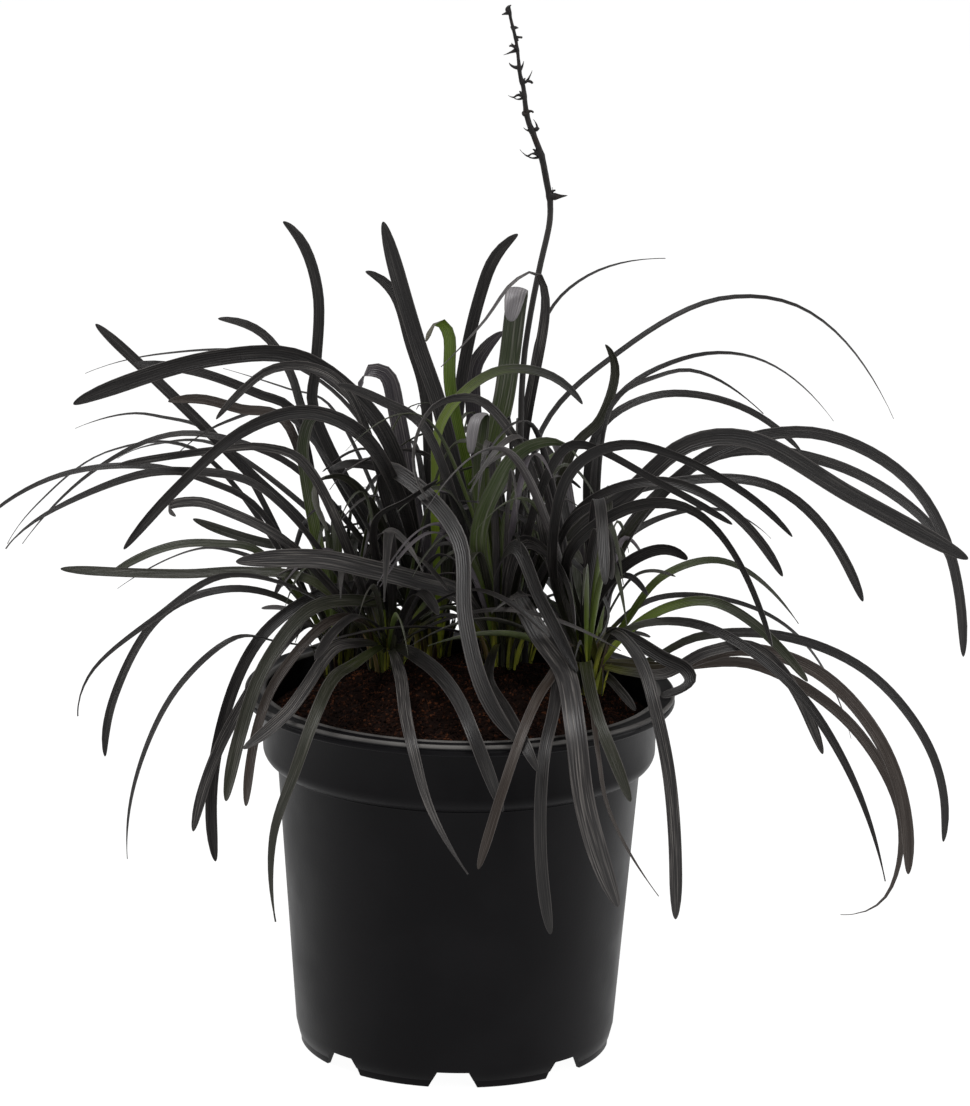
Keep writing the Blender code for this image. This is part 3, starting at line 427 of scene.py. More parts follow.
def pot_plastic():
    """Satin black plastic: fine moulded grain, a few rubbed patches and a painted highlight on the lip's
    edges.
    """
    made, tree, surface = new_material("pot_plastic", 0.42, 0.08)
    place = add(tree, "ShaderNodeTexCoord").outputs["Object"]
    rubbed = remap(tree, noise_at(tree, place, 28.0, 4.0), 0.35, 0.75)
    shade = blend_colour(tree, rubbed, colour(*POT_BLACK), colour(*POT_RUBBED))
    spot = add(tree, "ShaderNodeSeparateXYZ", {0: place}).outputs
    out = distance_out(tree, spot)
    outer = remap(tree, out, *[(LIP_RADIUS - inset) * MM for inset in LIP_HIGHLIGHT])
    inner = remap(tree, out, *[(COLLAR_RADIUS + outset) * MM for outset in COLLAR_HIGHLIGHT])
    high = remap(tree, spot[2], *[(POT_HEIGHT - drop) * MM for drop in TOP_HIGHLIGHT])
    # Painted highlight: pale lines on the lip's outer and inner edges near the top, as if they catch the
    # light.
    edge_highlight = maths(tree, "MULTIPLY", maths(tree, "MAXIMUM", outer, inner), high)
    edge_highlight = maths(tree, "MULTIPLY", edge_highlight, maths(tree, "MULTIPLY_ADD", rubbed, 0.6, 0.4))
    shade = blend_colour(tree, edge_highlight, shade, colour(*POT_EDGE_HIGHLIGHT))
    tree.links.new(shade, surface.inputs["Base Color"])
    tree.links.new(maths(tree, "MULTIPLY_ADD", rubbed, 0.12, 0.38), surface.inputs["Roughness"])
    bump(tree, surface, noise_at(tree, place, 900.0, 3.0), 0.25, 0.0001)
    return made


# %% Turn the section round the pot
WELD = 1e-6  # metres


def turned_skin(tree, lines, sides):
    """Sweeps the section round a circle, then puts each point at its own radius and height."""
    profile = add(tree, "GeometryNodeMeshToCurve", {"Mesh": lines}).outputs[0]
    sweep = {"Curve": turning_circle(tree, "turn", sides, 1.0), "Profile Curve": profile}
    skin = add(tree, "GeometryNodeCurveToMesh", sweep).outputs[0]
    radius, height, turn = (named(tree, name) for name in ("out", "height", "turn"))
    x = maths(tree, "MULTIPLY", radius, maths(tree, "COSINE", turn))
    y = maths(tree, "MULTIPLY", radius, maths(tree, "SINE", turn))
    spot = add(tree, "ShaderNodeCombineXYZ", {0: x, 1: y, 2: height}).outputs[0]
    skin = add(tree, "GeometryNodeSetPosition", {"Geometry": skin, "Position": spot}).outputs[0]
    return add(tree, "GeometryNodeMergeByDistance", {"Geometry": skin, "Distance": WELD}).outputs[0]


# %% The wedges that cut its notches
NOTCH_HEIGHT = 6.8
NOTCH_TOP_WIDTH = 12.6
NOTCH_FOOT_WIDTH = 19.6
NOTCH_DEPTH = 16.0  # of the wedge, more than the ring's own thickness


def notch_wedges(tree, count, notch_height):
    """Copies of one block round the foot, wider below, that face outwards. Half of each is in the ground."""
    ring = add(tree, "GeometryNodeMeshCircle", {"Vertices": count, "Radius": FOOT_RADIUS * MM}).outputs[0]
    tall = maths(tree, "MULTIPLY", notch_height, 2.0)
    block = add(tree, "ShaderNodeCombineXYZ", {0: NOTCH_DEPTH * MM, 1: NOTCH_TOP_WIDTH * MM, 2: tall})
    wedge = add(tree, "GeometryNodeMeshCube", {"Size": block.outputs[0]}).outputs[0]
    spot = add(tree, "GeometryNodeInputPosition").outputs[0]
    spot = add(tree, "ShaderNodeSeparateXYZ", {0: spot}).outputs
    flare = (NOTCH_FOOT_WIDTH / NOTCH_TOP_WIDTH - 1) / (NOTCH_HEIGHT * MM)
    below = maths(tree, "SUBTRACT", notch_height, spot[2])
    wide = maths(tree, "MULTIPLY", spot[1], maths(tree, "MULTIPLY_ADD", below, flare, 1.0))
    flared = add(tree, "ShaderNodeCombineXYZ", {0: spot[0], 1: wide, 2: spot[2]}).outputs[0]
    wedge = add(tree, "GeometryNodeSetPosition", {"Geometry": wedge, "Position": flared}).outputs[0]
    index = add(tree, "GeometryNodeInputIndex").outputs[0]
    turn = maths(tree, "MULTIPLY", index, maths(tree, "DIVIDE", math.tau, count))
    facing = add(tree, "ShaderNodeCombineXYZ", {2: turn}).outputs[0]
    sockets = {"Points": ring, "Instance": wedge, "Rotation": facing}
    wedges = add(tree, "GeometryNodeInstanceOnPoints", sockets).outputs[0]
    return add(tree, "GeometryNodeRealizeInstances", {"Geometry": wedges}).outputs[0]


# %% Make the pot
POT_INPUTS = {"Sides": 192, "Notches": 8, "Notch height": NOTCH_HEIGHT * MM}
SHARP_ANGLE = math.radians(40)


def pot_tree(material):
    """Turns the section into the pot's skin and cuts the wedges out of it."""
    tree, given = geometry_tree("turned_pot", POT_INPUTS)
    skin = turned_skin(tree, given["Geometry"], given["Sides"])
    wedges = notch_wedges(tree, given["Notches"], given["Notch height"])
    cut = add(tree, "GeometryNodeMeshBoolean", {"Mesh 1": skin, "Mesh 2": wedges}, operation="DIFFERENCE")
    finish_tree(tree, cut.outputs[0], material)
    return tree


section_lines = path_mesh(
    "pot_section", [np.insert(section, 1, 0, axis=1)], out=[section[:, 0] * MM], height=[section[:, 1] * MM]
)
pot = grown("nursery_pot", section_lines, pot_tree(pot_plastic()), POT_INPUTS)
pot.data.set_sharp_from_angle(angle=SHARP_ANGLE)
belongs(pot, "pot_plastic", "pot")

# %% [markdown]
# ## The growing mix
# The pot is filled with coir: crumbs and short fibres, damp and dark. The surface is a low mound with lumps.
# It is made as rings, with the same rule for its height as the solid, plus fine noise. Its colour is a ramp
# from nearly black to rust, and each crumb and fibre takes its own place on it.

# %% Height of the mix
GAP = 0.3  # between the mix and the pot
MIX_EDGE = 135.4
MIX_TOP = 153.6
MIX_RADIUS = COLLAR_RADIUS - WALL - GAP


def mix_height(x, y):
    """Height of the mix's surface: a low mound with two waves of lumps that die out at the wall."""
    mound = 1 - (np.hypot(x, y) / MIX_RADIUS) ** 2
    lumps = 0.9 * np.sin(x / 5.3 + 1.0) * np.cos(y / 6.1) + 0.7 * np.sin(x / 2.9 - y / 3.7)
    return MIX_EDGE + (MIX_TOP - MIX_EDGE) * mound + lumps * np.clip(3 * mound, 0, 1)


print("the mix rises from", MIX_EDGE, "to", MIX_TOP, "mm")


# %% The mix's material
# Places on the ramp, and the colour at each.
COIR_SHADES = [
    (0.3, (11, 6, 5)), (0.5, (24, 14, 10)), (0.68, (44, 25, 17)), (0.88, (82, 47, 28)), (1.0, (114, 74, 42)),
]


def mix_material():
    """Dark red-brown coir. A crumb or fibre has its own shade, from nearly black to rust."""
    made, tree, surface = new_material("growing_mix", 0.95, 0.05)
    place = add(tree, "ShaderNodeTexCoord").outputs["Object"]
    fine = noise_at(tree, place, 700.0, 6.0)
    broad = noise_at(tree, place, 60.0, 3.0)
    mixed = maths(tree, "MULTIPLY_ADD", fine, 0.55, maths(tree, "MULTIPLY", broad, 0.3))
    amount = maths(tree, "ADD", mixed, read(tree, "shade"))
    ramp = add(tree, "ShaderNodeValToRGB", {"Fac": amount})
    stops = ramp.color_ramp.elements
    for step, (spot, shade) in enumerate(COIR_SHADES):
        stop = stops[step] if step < len(stops) else stops.new(spot)
        stop.position, stop.color = spot, colour(*shade)
    tree.links.new(ramp.outputs[0], surface.inputs["Base Color"])
    bump(tree, surface, fine, 0.6, 0.0006)
    return made


# %% The surface, in rings
MIX_RINGS = 46
MIX_SIDES = 150
CALM_EDGE = 3.0  # the fine lumps die out over this width at the wall


def rough_height(x, y, radius):
    """The mix's height with fine lumps, of two sizes, added to the solid's."""
    rough = noise.noise(Vector((x, y, 0)) / 3.1) * 0.9 + noise.noise(Vector((x, y, 5)) / 1.3) * 0.4
    return mix_height(x, y) + rough * min(1, (MIX_RADIUS - radius) / CALM_EDGE)


def mix_mesh():
    """A closed body: a fine lumpy top over a plain side and bottom that follow the pot's inside."""
    shape = bmesh.new()
    angles = np.linspace(0, math.tau, MIX_SIDES, endpoint=False)

    def ring(radius, height=None):
        spots = [(radius * math.cos(a), radius * math.sin(a)) for a in angles]
        return [shape.verts.new((x, y, height or rough_height(x, y, radius))) for x, y in spots]

    top = shape.verts.new((0, 0, rough_height(0, 0, 0)))
    rings = [ring(MIX_RADIUS * k / MIX_RINGS) for k in range(1, MIX_RINGS + 1)]
    collar_foot = POT_HEIGHT - COLLAR_DROP
    rings.append(ring(MIX_RADIUS, collar_foot + COLLAR_ROUND + GAP))
    rings.append(ring(BODY_TOP_RADIUS - WALL - GAP, collar_foot + GAP))
    rings.append(ring(BODY_FOOT_RADIUS - WALL, FLOOR_TOP + GAP))
    for k in range(MIX_SIDES):
        after = (k + 1) % MIX_SIDES
        shape.faces.new((top, rings[0][k], rings[0][after]))
        for upper, lower in zip(rings, rings[1:]):
            shape.faces.new((upper[k], lower[k], lower[after], upper[after]))
    shape.faces.new(rings[-1][::-1])
    bmesh.ops.recalc_face_normals(shape, faces=shape.faces)
    bmesh.ops.scale(shape, vec=(MM, MM, MM), verts=shape.verts)
    mesh = bpy.data.meshes.new("growing_mix")
    shape.to_mesh(mesh)
    shape.free()
    mesh.shade_smooth()
    return mesh


coir = mix_material()
mix_surface = mix_mesh()
mix_surface.materials.append(coir)
mix = placed("coir_mix", mix_surface)
belongs(mix, "growing_mix", "growing_mix")

# %% [markdown]
# ## Crumbs and fibres
# Real coir is never smooth: crumbs lie on it, and short fibres stand out of it. Tens of thousands of them
# can't be placed by hand, so a tree scatters copies of one crumb and one bent fibre over the faces that look
# up. They stay a little clear of the wall, as they would fall into the gap there. The copies are very plain,
# because each one is repeated thousands of times.

# %% Copies at random places
WALL_CLEAR = 3.8
CRUMB_REACH = (MIX_RADIUS - WALL_CLEAR) * MM
CRUMB_INPUTS = {"Crumbs": 330000.0, "Fibres": 52000.0, "Reach": CRUMB_REACH, "Seed": 4}
FIBRE_SEED = 11
FACES_UP = 0.3  # least upward part of a face's normal that carries crumbs
OWN_SHADES = (-0.16, 0.34)
SHADE_SEED, TURN_SEED, SIZE_SEED = 7, 8, 9


def chance(tree, low, high, seed):
    """A random number, or a random vector, for each point."""
    if isinstance(low, tuple):
        sockets = {"Min": low, "Max": high, "Seed": seed}
        return add(tree, "FunctionNodeRandomValue", sockets, data_type="FLOAT_VECTOR").outputs[0]
    return add(tree, "FunctionNodeRandomValue", {2: low, 3: high, "Seed": seed}, data_type="FLOAT").outputs[1]


def scattered(tree, spots, shape, smallest, largest, tilt):
    """Copies of one shape at random places, each with its own turn, size and shade."""
    points = add(tree, "GeometryNodeDistributePointsOnFaces", spots).outputs[0]
    points = store(tree, points, "shade", chance(tree, *OWN_SHADES, SHADE_SEED))
    turn = chance(tree, (-tilt, -tilt, 0), (tilt, tilt, math.tau), TURN_SEED)
    size = chance(tree, smallest, largest, SIZE_SEED)
    sockets = {"Points": points, "Instance": shape, "Rotation": turn, "Scale": size}
    return add(tree, "GeometryNodeInstanceOnPoints", sockets).outputs[0]


# %% One crumb and one fibre
CRUMB_RADIUS = 0.0006
FIBRE_RADIUS = 0.00013
FIBRE_SIDES = 3
FIBRE_ARCH = {"Resolution": 5, "Start": (-0.0035, 0, 0), "Middle": (0, 0.0008, 0.0022), "End": (0.0035, 0, 0)}


def crumb_and_fibre(tree):
    """The two shapes that are copied: a rough ball and a bent hair."""
    crumb = add(tree, "GeometryNodeMeshIcoSphere", {"Radius": CRUMB_RADIUS, "Subdivisions": 1}).outputs[0]
    arch = add(tree, "GeometryNodeCurveQuadraticBezier", FIBRE_ARCH).outputs[0]
    return crumb, swept(tree, arch, circle(tree, FIBRE_SIDES, FIBRE_RADIUS))


# %% Scatter them over the mix
# The smallest and largest copies along each axis, and how far they tilt.
CRUMB_SIZES = ((0.6, 0.6, 0.5), (2.2, 1.6, 1.3), 3.0)
FIBRE_SIZES = ((0.5, 0.6, 0.3), (1.5, 1.4, 1.2), 0.5)


def scatter_tree(material):
    """Scatters crumbs and fibres over the parts of a mesh that face up."""
    tree, given = geometry_tree("crumbs", CRUMB_INPUTS)
    normal = add(tree, "GeometryNodeInputNormal").outputs[0]
    upward = add(tree, "ShaderNodeSeparateXYZ", {0: normal}).outputs[2]
    upward = maths(tree, "GREATER_THAN", upward, FACES_UP)
    spot = add(tree, "GeometryNodeInputPosition").outputs[0]
    out = distance_out(tree, add(tree, "ShaderNodeSeparateXYZ", {0: spot}).outputs)
    upward = maths(tree, "MULTIPLY", upward, maths(tree, "LESS_THAN", out, given["Reach"]))
    crumb, fibre = crumb_and_fibre(tree)
    spots = {"Mesh": given["Geometry"], "Selection": upward}
    crumb_spots = {**spots, "Density": given["Crumbs"], "Seed": given["Seed"]}
    fibre_spots = {**spots, "Density": given["Fibres"], "Seed": FIBRE_SEED}
    both = add(tree, "GeometryNodeJoinGeometry")
    tree.links.new(scattered(tree, crumb_spots, crumb, *CRUMB_SIZES), both.inputs[0])
    tree.links.new(scattered(tree, fibre_spots, fibre, *FIBRE_SIZES), both.inputs[0])
    finish_tree(tree, both.outputs[0], material)
    return tree


crumbs = grown("coir_crumbs", mix_surface.copy(), scatter_tree(coir), CRUMB_INPUTS)
belongs(crumbs, "growing_mix")

# %% [markdown]
# ## The leaves, as lines
# Every leaf is a smooth line from its root in a crown to its tip. The long ones are drawn one by one. Short
# ones are drawn by chance, with a fixed seed, and fill the heart of the plant. A leaf that would run through
# another tuft bends clear of it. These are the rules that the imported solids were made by, so the fine
# leaves lie where the solids do.

# %% Crowns and the ends of leaves
# The name of each crown's solid, and the place where it stands.
CROWNS = {
    "A": ("tuft_front_left", -30.0, 20.0),
    "B": ("tuft_front_middle", 16.0, 18.0),
    "C": ("tuft_front_right", 51.0, 8.0),
    "D": ("tuft_back_left", -50.0, 40.0),
    "E": ("tuft_back_middle", -12.0, 46.0),
    "F": ("tuft_back_centre", 22.0, 52.0),
    "G": ("tuft_back_right", 52.0, 38.0),
}
# Where a tip starts, as a share of the leaf's length, and the power that rounds it.
BLUNT = (0.80, 0.5)
FINE = (0.35, 0.9)
CUT = (0.92, 0.4)

Leaf = namedtuple("Leaf", "tuft shade width depth drawn tip")


def leaf(tuft, shade, width, depth, *drawn, tip=BLUNT):
    """A leaf: its crown, its shade, its width as drawn, its tip's depth and its points, low to tip.

    A point with a third number has that depth. The depth of the others runs evenly between them.
    """
    return Leaf(tuft, shade, width, depth, drawn, tip)


# %% The drawn leaves
LEAVES = [
    # Leaves that fall towards the front and over the rim.
    leaf("E", "dark", 6.5, -88, (-30, 230, 10), (-13, 220, -10), (1, 200, -35), (3, 170, -58),
         (11, 140, -78), (24, 121)),
    leaf("B", "dark", 6.0, -55, (16, 190), (23, 199), (33, 178), (48, 149)),
    leaf("B", "grey", 6.0, -30, (20, 185), (27, 201), (40, 192), (47, 165)),
    leaf("A", "grey", 5.0, -102, (-23, 147, -35), (-21, 132, -70), (-18, 118, -90),
         (-11, 94, -99), (4, 68), tip=FINE),
    leaf("A", "dark", 6.0, -98, (-12, 152, -30), (0, 138, -70), (7, 122, -91), (18, 93)),
    leaf("C", "brown", 4.0, -104, (45, 160, -15), (38, 148, -45), (31, 137, -72), (24, 120, -92), (8, 70)),
    leaf("C", "dark", 4.8, -97, (42, 152, -30), (38, 132, -74), (34, 112, -94), (33, 78, -98), (37, 44)),
    leaf("B", "dark", 5.0, -94, (12, 146, -25), (20, 132, -65), (27, 119, -88), (32, 109)),
    leaf("B", "grey", 8.5, -90, (22, 180), (33, 163, -20), (43, 148, -52), (47, 126, -80),
         (51, 95, -93), (64, 55)),
    leaf("C", "olive", 5.0, -76, (51, 152, -22), (56, 130, -62), (62, 115, -73), (69, 97)),
    leaf("C", "brown", 1.8, -84, (53, 140, -44), (56, 115, -80), (60, 94, -85), (80, 59), tip=FINE),
    leaf("C", "grey", 5.2, -52, (62, 165), (72, 155), (79, 134, -45), (85, 103, -52), (87, 50)),
    leaf("C", "dark", 5.5, -30, (62, 164), (83, 154, -18), (91, 150, -21), (93, 145, -25),
         (81, 139, -29), tip=CUT),
    leaf("C", "grey", 3.5, -36, (58, 148), (65, 141, -24), (71, 133)),
    # Left side, top to bottom.
    leaf("D", "dark", 4.5, 70, (-56, 199), (-84, 229), (-117, 262), (-145, 288)),
    leaf("E", "dark", 6.8, -20, (-25, 235), (-40, 258), (-65, 275), (-100, 274), (-140, 262), (-154, 256)),
    leaf("E", "dark", 3.5, 60, (-61, 250), (-67, 268), (-75, 281), (-83, 287), (-96, 290)),
    leaf("E", "dark", 1.2, 85, (-40, 250), (-75, 275), (-118, 276), (-149, 268), tip=FINE),
    leaf("D", "dark", 3.5, 30, (-66, 253), (-80, 260), (-105, 269), (-130, 272)),
    leaf("E", "dark", 1.2, 95, (-52, 256), (-68, 262), (-94, 270), tip=FINE),
    leaf("E", "grey", 3.5, -30, (-45, 262), (-60, 271), (-75, 270), (-85, 263), (-97, 250)),
    leaf("D", "brown", 3.5, 10, (-70, 250), (-87, 254), (-103, 258), (-116, 257)),
    leaf("D", "dark", 2.0, 95, (-95, 242), (-120, 251), (-132, 252), (-153, 246), tip=FINE),
    leaf("E", "dark", 6.0, -85, (-22, 215), (-40, 245), (-62, 253), (-85, 246), (-110, 225), (-134, 198)),
    leaf("A", "grey", 4.0, -60, (-62, 233), (-78, 239), (-95, 238), (-136, 232)),
    leaf("D", "dark", 2.5, 40, (-80, 214), (-100, 225), (-125, 231), (-157, 228), (-183, 215),
         (-204, 192), tip=FINE),
    leaf("A", "dark", 3.0, -113, (-80, 223), (-110, 229), (-130, 227), (-168, 210), (-181, 198), tip=FINE),
    leaf("E", "dark", 2.5, 60, (-60, 226), (-80, 238), (-112, 244), (-143, 231), (-174, 200), tip=FINE),
    leaf("E", "dark", 2.0, 106, (-95, 239), (-120, 240), (-136, 234), tip=FINE),
    leaf("D", "dark", 1.2, 108, (-104, 237), (-140, 237), (-168, 216), (-180, 200), tip=FINE),
    leaf("E", "dark", 1.2, 20, (-70, 252), (-92, 249), (-112, 236), tip=FINE),
    leaf("A", "grey", 3.5, -70, (-68, 200), (-92, 213), (-105, 217), (-116, 215), (-113, 211)),
    leaf("D", "olive", 4.0, 60, (-66, 199), (-75, 200), (-90, 204), (-106, 210)),
    leaf("D", "green", 3.0, 30, (-80, 197), (-95, 200), (-115, 199), (-140, 187)),
    leaf("A", "olive", 3.8, 20, (-58, 185), (-85, 189), (-110, 188), (-159, 190)),
    leaf("D", "dark", 1.2, 100, (-75, 190), (-90, 197), (-104, 198), (-136, 182), tip=FINE),
    leaf("B", "grey", 7.6, -45, (0, 180), (-15, 185), (-35, 190), (-55, 194), (-89, 193)),
    leaf("A", "dark", 1.8, -95, (-60, 180), (-94, 187), (-120, 171), (-147, 148), (-152, 131), tip=FINE),
    leaf("D", "dark", 3.0, 10, (-65, 175), (-90, 182), (-118, 172), (-137, 140), (-141, 115)),
    leaf("D", "dark", 2.3, 20, (-72, 161), (-90, 162), (-113, 141), (-129, 105), (-132, 74), tip=FINE),
    leaf("E", "dark", 4.8, -20, (-30, 182), (-52, 181), (-75, 167), (-88, 147), (-98, 108), (-97, 73)),
    leaf("D", "grey", 4.5, -5, (-60, 168), (-70, 160), (-84, 140), (-98, 113), (-106, 85)),
    leaf("E", "olive", 5.5, -50, (-20, 170), (-36, 177), (-59, 174), (-77, 152), (-87, 125), (-93, 97)),
    leaf("A", "brown", 4.0, -62, (-40, 170), (-53, 168), (-73, 145), (-80, 128), (-85, 95)),
    leaf("A", "grey", 5.0, -74, (-44, 160), (-51, 157, -28), (-62, 141, -50), (-69, 132, -60), (-86, 118)),
    leaf("A", "olive", 5.0, -62, (-43, 151, -25), (-50, 146, -42), (-57, 132, -62),
         (-65, 110, -72), (-74, 83, -68), (-73, 49), tip=FINE),
    # Upright leaves of the middle, left to right, then the arches under them.
    leaf("E", "dark", 4.5, 50, (-58, 255), (-57, 270), (-56, 300), (-62, 320), (-70, 329)),
    leaf("B", "dark", 6.5, 30, (-6, 250), (-16, 280), (-22, 300), (-30, 329)),
    leaf("E", "dark", 4.5, 75, (-13, 258), (-19, 280), (-26, 301), (-37, 309)),
    leaf("F", "lime", 5.0, 10, (-3, 262), (-4, 285), (-8, 289), (-13, 281)),
    leaf("E", "dark", 5.0, 60, (1, 262), (9, 300), (15, 315), (24, 324)),
    leaf("F", "grey", 4.5, -20, (26, 240), (35, 300), (31, 309), (22, 305), (10, 289), (-7, 271), tip=FINE),
    leaf("F", "folded", 8.5, 20, (12, 222), (19, 262), (23, 294, 42), (24, 302, 38),
         (23, 300, 32), (21, 289, 28), tip=CUT),
    leaf("F", "lilac", 6.5, 60, (6, 268), (10, 277), (18, 285)),
    leaf("E", "turning", 3.8, 0, (-9, 220), (-6, 250), (15, 269), (36, 268), (50, 256)),
    leaf("C", "grey", 4.0, -30, (35, 200), (28, 232), (8, 258), (-10, 255), (-18, 235), (-12, 217)),
    leaf("B", "folded", 5.0, 0, (8, 225), (10, 247, 12), (10, 252, 8), (7, 250, 2), (5, 236, -2), tip=CUT),
    leaf("E", "lilac", 7.0, 62, (-24, 250), (-29, 268), (-36, 269), (-39, 262)),
    leaf("B", "dark", 3.5, -10, (-14, 247), (-30, 257), (-48, 264)),
    leaf("D", "folded", 5.0, 10, (-61, 228), (-62, 240), (-58, 251), (-50, 250)),
    leaf("A", "olive", 4.0, -30, (-28, 200), (-46, 227), (-57, 224), (-52, 205)),
    leaf("B", "dark", 3.0, -20, (-15, 221), (-40, 232), (-52, 229)),
    leaf("A", "olive", 5.0, 20, (-28, 196), (-36, 216), (-48, 229)),
    leaf("A", "dark", 3.0, 20, (-33, 210), (-20, 218), (-8, 226)),
    leaf("B", "striped", 7.0, -35, (8, 200), (15, 223), (26, 238), (40, 241), (49, 233)),
    leaf("B", "striped", 3.0, 0, (18, 203), (24, 221), (36, 233), (46, 238)),
    # Right side, top to bottom.
    leaf("F", "dark", 2.0, 85, (33, 244), (65, 277), (105, 298), (140, 293), (174, 250), tip=FINE),
    leaf("F", "dark", 1.2, 60, (33, 285), (50, 306), (83, 314), tip=FINE),
    leaf("G", "dark", 2.3, 100, (60, 253), (90, 274), (120, 274), (150, 249), tip=FINE),
    leaf("G", "dark", 1.3, 20, (62, 256), (80, 267), (95, 269), (122, 252), tip=FINE),
    leaf("G", "dark", 3.0, 60, (55, 243), (78, 259), (110, 256), (137, 237)),
    leaf("F", "olive", 3.8, 30, (46, 238), (57, 250), (63, 270), (59, 280)),
    leaf("C", "dark", 4.5, -90, (38, 190), (46, 230), (68, 240), (108, 225), (134, 203)),
    leaf("B", "dark", 3.5, -80, (36, 228), (47, 240), (82, 224), (110, 208)),
    leaf("C", "dark", 7.0, 20, (43, 197), (68, 220), (92, 240), (116, 242), (158, 219), (204, 194)),
    leaf("G", "dark", 5.0, 75, (57, 182), (73, 211), (105, 238), (145, 244), (185, 220), (202, 155)),
    leaf("G", "dark", 4.5, 106, (60, 190), (72, 212), (105, 236), (150, 232), (188, 208), (200, 183)),
    leaf("F", "dark", 3.8, 0, (50, 211), (88, 225), (130, 221), (162, 177)),
    leaf("C", "dark", 4.8, -100, (44, 195), (74, 216), (98, 211), (126, 159)),
    leaf("F", "dark", 3.5, -20, (50, 215), (82, 225), (108, 214), (130, 187)),
    leaf("G", "dark", 2.5, 90, (65, 200), (100, 214), (125, 202), tip=FINE),
    leaf("B", "dark", 3.0, -20, (40, 200), (46, 210), (58, 217)),
    leaf("C", "dark", 5.0, -25, (52, 170), (66, 191), (82, 198), (92, 194), tip=CUT),
    leaf("G", "dark", 1.2, 60, (56, 170), (66, 196), (78, 215), tip=FINE),
    leaf("C", "dark", 2.0, -20, (60, 172), (44, 195), (20, 213), (0, 217), tip=FINE),
    leaf("G", "green", 3.0, 45, (66, 167), (82, 187), (106, 193), (136, 168), tip=FINE),
    leaf("C", "green", 4.0, -35, (58, 153), (67, 164), (85, 175), (105, 176), (140, 145)),
    leaf("G", "dark", 1.8, 60, (76, 177), (110, 177), (137, 162), (157, 122), tip=FINE),
    leaf("C", "dark", 4.0, -95, (68, 166), (95, 168), (130, 147), (155, 112), (171, 65), tip=FINE),
    leaf("G", "dark", 4.0, 80, (72, 152, 42), (96, 163), (131, 163), (165, 148), (190, 115), (194, 81)),
    leaf("C", "grey", 4.5, -20, (68, 149, 4), (82, 148, 0), (100, 157), (120, 158), (146, 116)),
    leaf("C", "brown", 5.5, 20, (68, 151, 10), (83, 150, 8), (113, 158), (145, 148), (172, 115), (180, 68)),
    leaf("C", "brown", 4.5, 50, (68, 153, 16), (84, 151, 15), (118, 152), (157, 128), (177, 90),
         (170, 58), (153, 52), tip=FINE),
]
print(len(LEAVES), "leaves are drawn")


# %% Smooth lines
def smooth_line(points, samples=14):
    """A dense smooth line through the points: cubic spans between centripetal knots."""
    points = np.asarray(points, float)
    knots = np.concatenate([[0], np.cumsum(np.linalg.norm(np.diff(points, axis=0), axis=1) ** 0.5)])
    slopes = np.gradient(points, knots, axis=0, edge_order=2)
    line = []
    for i, span in enumerate(np.diff(knots)):
        for u in np.arange(samples) / samples:
            line.append(
                (1 + 2 * u) * (1 - u) ** 2 * points[i]
                + u * (1 - u) ** 2 * span * slopes[i]
                + u * u * (3 - 2 * u) * points[i + 1]
                + u * u * (u - 1) * span * slopes[i + 1]
            )
    return np.array(line + [points[-1]])


def spread(line, shares):
    """Points at the given shares of a line's length."""
    lengths = np.concatenate([[0], np.cumsum(np.linalg.norm(np.diff(line, axis=0), axis=1))])
    return np.column_stack([np.interp(shares * lengths[-1], lengths, line[:, k]) for k in range(3)])


def length_of(line):
    return np.linalg.norm(np.diff(line, axis=0), axis=1).sum()


def smoothstep(value):
    value = np.clip(value, 0, 1)
    return value * value * (3 - 2 * value)


# %% The width of a leaf
BASE_SHARE = 0.45  # the width at the root, as a share of the full width
BASE_LENGTH = 0.35  # of the leaf's length, over which it widens
TIP_SHARE = 0.22  # the least width of the solid's tip


def width_along(share, width, tip, least=TIP_SHARE):
    """Leaf width at a share of its length: narrow at the root, widest past the middle, round at the tip."""
    start, power = tip
    base = BASE_SHARE + (1 - BASE_SHARE) * smoothstep(share / BASE_LENGTH)
    past = np.clip((share - start) / (1 - start), 0, 1)
    return width * np.maximum(base * (1 - past**2) ** power, least)


print("a leaf's widths along it:", width_along(np.linspace(0, 1, 6), 1.0, BLUNT).round(2))


# %% Which way a leaf faces
def spin(vector, axis, angle):
    """A vector at right angles to the axis, turned about it."""
    return vector * math.cos(angle) + np.cross(axis, vector) * math.sin(angle)


def leaf_frames(path, faces, turned):
    """Unit vectors along and across the leaf at each point of its path."""
    along = np.gradient(path, axis=0)
    along /= np.linalg.norm(along, axis=1)[:, None]
    across = [unit(np.cross(along[0], [0.0, 1.0, 0.0]))]
    for direction in along[1:]:
        across.append(unit(across[-1] - direction * (across[-1] @ direction)))
    across = np.array(across)
    middle = len(path) // 2
    wanted = unit(np.cross(along[middle], faces))
    binormal = np.cross(along[middle], across[middle])
    angle = math.atan2(wanted @ binormal, wanted @ across[middle])
    lifts = [np.cross(spin(wanted, along[middle], sign * turned), along[middle])[2] for sign in (1, -1)]
    angle += turned if lifts[0] >= lifts[1] else -turned
    return along, np.array([spin(side, direction, angle) for side, direction in zip(across, along)])


# %% The leaf as a solid
ROOT_DEPTH = 1.0
SHEATH_RISE = 9.0
SEGMENT_LENGTH = 25.4
FEWEST_SEGMENTS, MOST_SEGMENTS = 5, 9
LEAF_THICKNESS = 1.0


def solid_shares(line):
    """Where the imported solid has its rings, as shares of the leaf's length."""
    length = length_of(line)
    segments = int(np.clip(round(length / SEGMENT_LENGTH), FEWEST_SEGMENTS, MOST_SEGMENTS))
    return np.concatenate([[0], np.linspace((SHEATH_RISE + ROOT_DEPTH) / length, 1, segments)])


